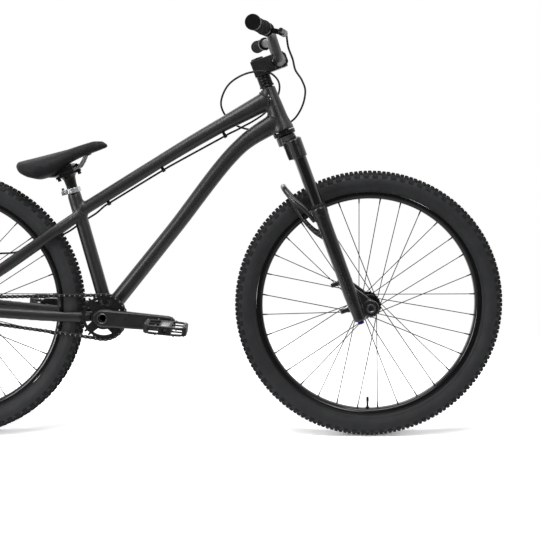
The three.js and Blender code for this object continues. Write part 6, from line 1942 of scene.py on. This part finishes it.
class BikeStageSettings(bpy.types.PropertyGroup):
    """Floor, lamps and camera."""
    floor: bpy.props.StringProperty(
        name="Floor", description="sRGB hex colour of the floor", default="#f4f4f4")
    floor_gain: bpy.props.FloatProperty(
        name="Floor gain", description="How pale the lit floor looks to the camera", default=2.2)
    shadow_reach: bpy.props.FloatProperty(
        name="Shadow reach", description="Distance from the middle to which the floor shows a shadow",
        default=1.1, unit="LENGTH")
    sky: bpy.props.FloatProperty(name="Sky", description="Strength of the world's own light", default=0.26)
    room: bpy.props.FloatProperty(
        name="Room", description="How bright the room behind the camera looks in a reflection", default=0.1)
    top_power: bpy.props.FloatProperty(
        name="Top lamp", description="Long lamp overhead", default=50, unit="POWER")
    front_power: bpy.props.FloatProperty(
        name="Front lamp", description="Lamp beside the camera; the lamp behind has half of it", default=26,
        unit="POWER")
    side_power: bpy.props.FloatProperty(
        name="Side lamp", description="Tall narrow lamp beside the rear wheel", default=42, unit="POWER")
    lens: bpy.props.FloatProperty(name="Lens", description="Focal length", default=75.34, unit="CAMERA")
    camera_place: bpy.props.FloatVectorProperty(
        name="Camera place", description="Where the camera stands", default=(0.2816, -2.8434, 0.7884),
        subtype="TRANSLATION", unit="LENGTH")
    camera_turn: bpy.props.FloatVectorProperty(
        name="Camera turn", description="How the camera is turned",
        default=(math.radians(82.78), 0.0, math.radians(0.05)), subtype="EULER")


# Operators

class BIKE_OT_stage(bpy.types.Operator):
    """Makes the floor, lamps and camera"""
    bl_idname = "bike.stage"
    bl_label = "Stage"

    def execute(self, context):
        stage()
        return {"FINISHED"}


class BIKE_OT_finishes(bpy.types.Operator):
    """Makes the finishes and the node trees that the pieces share"""
    bl_idname = "bike.finishes"
    bl_label = "Finishes"

    def execute(self, context):
        make_materials()
        make_trees()
        return {"FINISHED"}


class BIKE_OT_hoses(bpy.types.Operator):
    """Makes the brake hose with its loop"""
    bl_idname = "bike.hoses"
    bl_label = "Hoses"

    def execute(self, context):
        hoses()
        return {"FINISHED"}


class BIKE_OT_frame(bpy.types.Operator):
    """Makes the welded frame, its welds and fittings"""
    bl_idname = "bike.frame"
    bl_label = "Frame"

    def execute(self, context):
        frame_skin()
        weld_ripples()
        frame_fittings()
        seat_collar()
        return {"FINISHED"}


class BIKE_OT_fork(bpy.types.Operator):
    """Makes the headset, fork, dials and front axle"""
    bl_idname = "bike.fork"
    bl_label = "Fork"

    def execute(self, context):
        headset()
        crown_and_stanchions()
        lower_legs()
        front_axle()
        fork_dials()
        return {"FINISHED"}


class BIKE_OT_cockpit(bpy.types.Operator):
    """Makes the bar, grips, stem and brake lever"""
    bl_idname = "bike.cockpit"
    bl_label = "Cockpit"

    def execute(self, context):
        handlebar()
        grips()
        stem()
        brake_lever()
        return {"FINISHED"}


class BIKE_OT_wheels(bpy.types.Operator):
    """Makes both wheels"""
    bl_idname = "bike.wheels"
    bl_label = "Wheels"

    def execute(self, context):
        wheel("front", FRONT_AXLE, "front_wheel", ((-1, -28), (1, 28)), 29.6, FRONT_HUB)
        wheel("rear", REAR_AXLE, "rear_wheel", ((-1, -24), (1, 33)), 28, REAR_HUB)
        return {"FINISHED"}


class BIKE_OT_rear_brake(bpy.types.Operator):
    """Makes the rotor, caliper, pads and rear axle"""
    bl_idname = "bike.rear_brake"
    bl_label = "Rear brake"

    def execute(self, context):
        rotor()
        rear_brake()
        rear_axle()
        return {"FINISHED"}


class BIKE_OT_drivetrain(bpy.types.Operator):
    """Makes the chain, chainring, sprocket and cranks"""
    bl_idname = "bike.drivetrain"
    bl_label = "Drivetrain"

    def execute(self, context):
        chain()
        chainring()
        sprocket()
        crankset()
        return {"FINISHED"}


class BIKE_OT_pedals(bpy.types.Operator):
    """Makes both pedals"""
    bl_idname = "bike.pedals"
    bl_label = "Pedals"

    def execute(self, context):
        pedals()
        return {"FINISHED"}


class BIKE_OT_seat(bpy.types.Operator):
    """Makes the seatpost, clamp, rails and padded saddle"""
    bl_idname = "bike.seat"
    bl_label = "Seat"

    def execute(self, context):
        seatpost()
        saddle()
        return {"FINISHED"}


class BIKE_OT_carried(bpy.types.Operator):
    """Gives the frame's nodes that stay their finish"""
    bl_idname = "bike.carried"
    bl_label = "Carried nodes"

    def execute(self, context):
        carried("steerer", "anodised")
        return {"FINISHED"}


class BIKE_PT_pieces(bpy.types.Panel):
    """Lists the bike's pieces"""
    bl_label = "Dirt jump bike"
    bl_space_type = "VIEW_3D"
    bl_region_type = "UI"
    bl_category = "Bike"

    def draw(self, context):
        for group in ("bike_frame", "bike_wheels", "bike_saddle", "bike_stage"):
            settings = getattr(context.scene, group)
            for name in settings.bl_rna.properties.keys():
                if name not in ("rna_type", "name"):
                    self.layout.prop(settings, name)
        for operator in OPERATORS:
            self.layout.operator(operator.bl_idname)


SETTINGS = (BikeFrameSettings, BikeWheelSettings, BikeSaddleSettings, BikeStageSettings)
OPERATORS = (BIKE_OT_stage, BIKE_OT_finishes, BIKE_OT_hoses, BIKE_OT_frame, BIKE_OT_fork, BIKE_OT_cockpit,
             BIKE_OT_wheels, BIKE_OT_rear_brake, BIKE_OT_drivetrain, BIKE_OT_pedals, BIKE_OT_seat,
             BIKE_OT_carried)


def register():
    """Adds the settings, operators and panel."""
    for item in SETTINGS + OPERATORS + (BIKE_PT_pieces,):
        bpy.utils.register_class(item)
    bpy.types.Scene.bike_frame = bpy.props.PointerProperty(type=BikeFrameSettings)
    bpy.types.Scene.bike_wheels = bpy.props.PointerProperty(type=BikeWheelSettings)
    bpy.types.Scene.bike_saddle = bpy.props.PointerProperty(type=BikeSaddleSettings)
    bpy.types.Scene.bike_stage = bpy.props.PointerProperty(type=BikeStageSettings)


def unregister():
    """Takes them away again."""
    for name in ("bike_stage", "bike_saddle", "bike_wheels", "bike_frame"):
        delattr(bpy.types.Scene, name)
    for item in reversed(SETTINGS + OPERATORS + (BIKE_PT_pieces,)):
        bpy.utils.unregister_class(item)


def main():
    """Makes everything in order."""
    register()
    for operator in OPERATORS:
        group, name = operator.bl_idname.split(".")
        getattr(getattr(bpy.ops, group), name)()


if __name__ == "__main__":
    main()
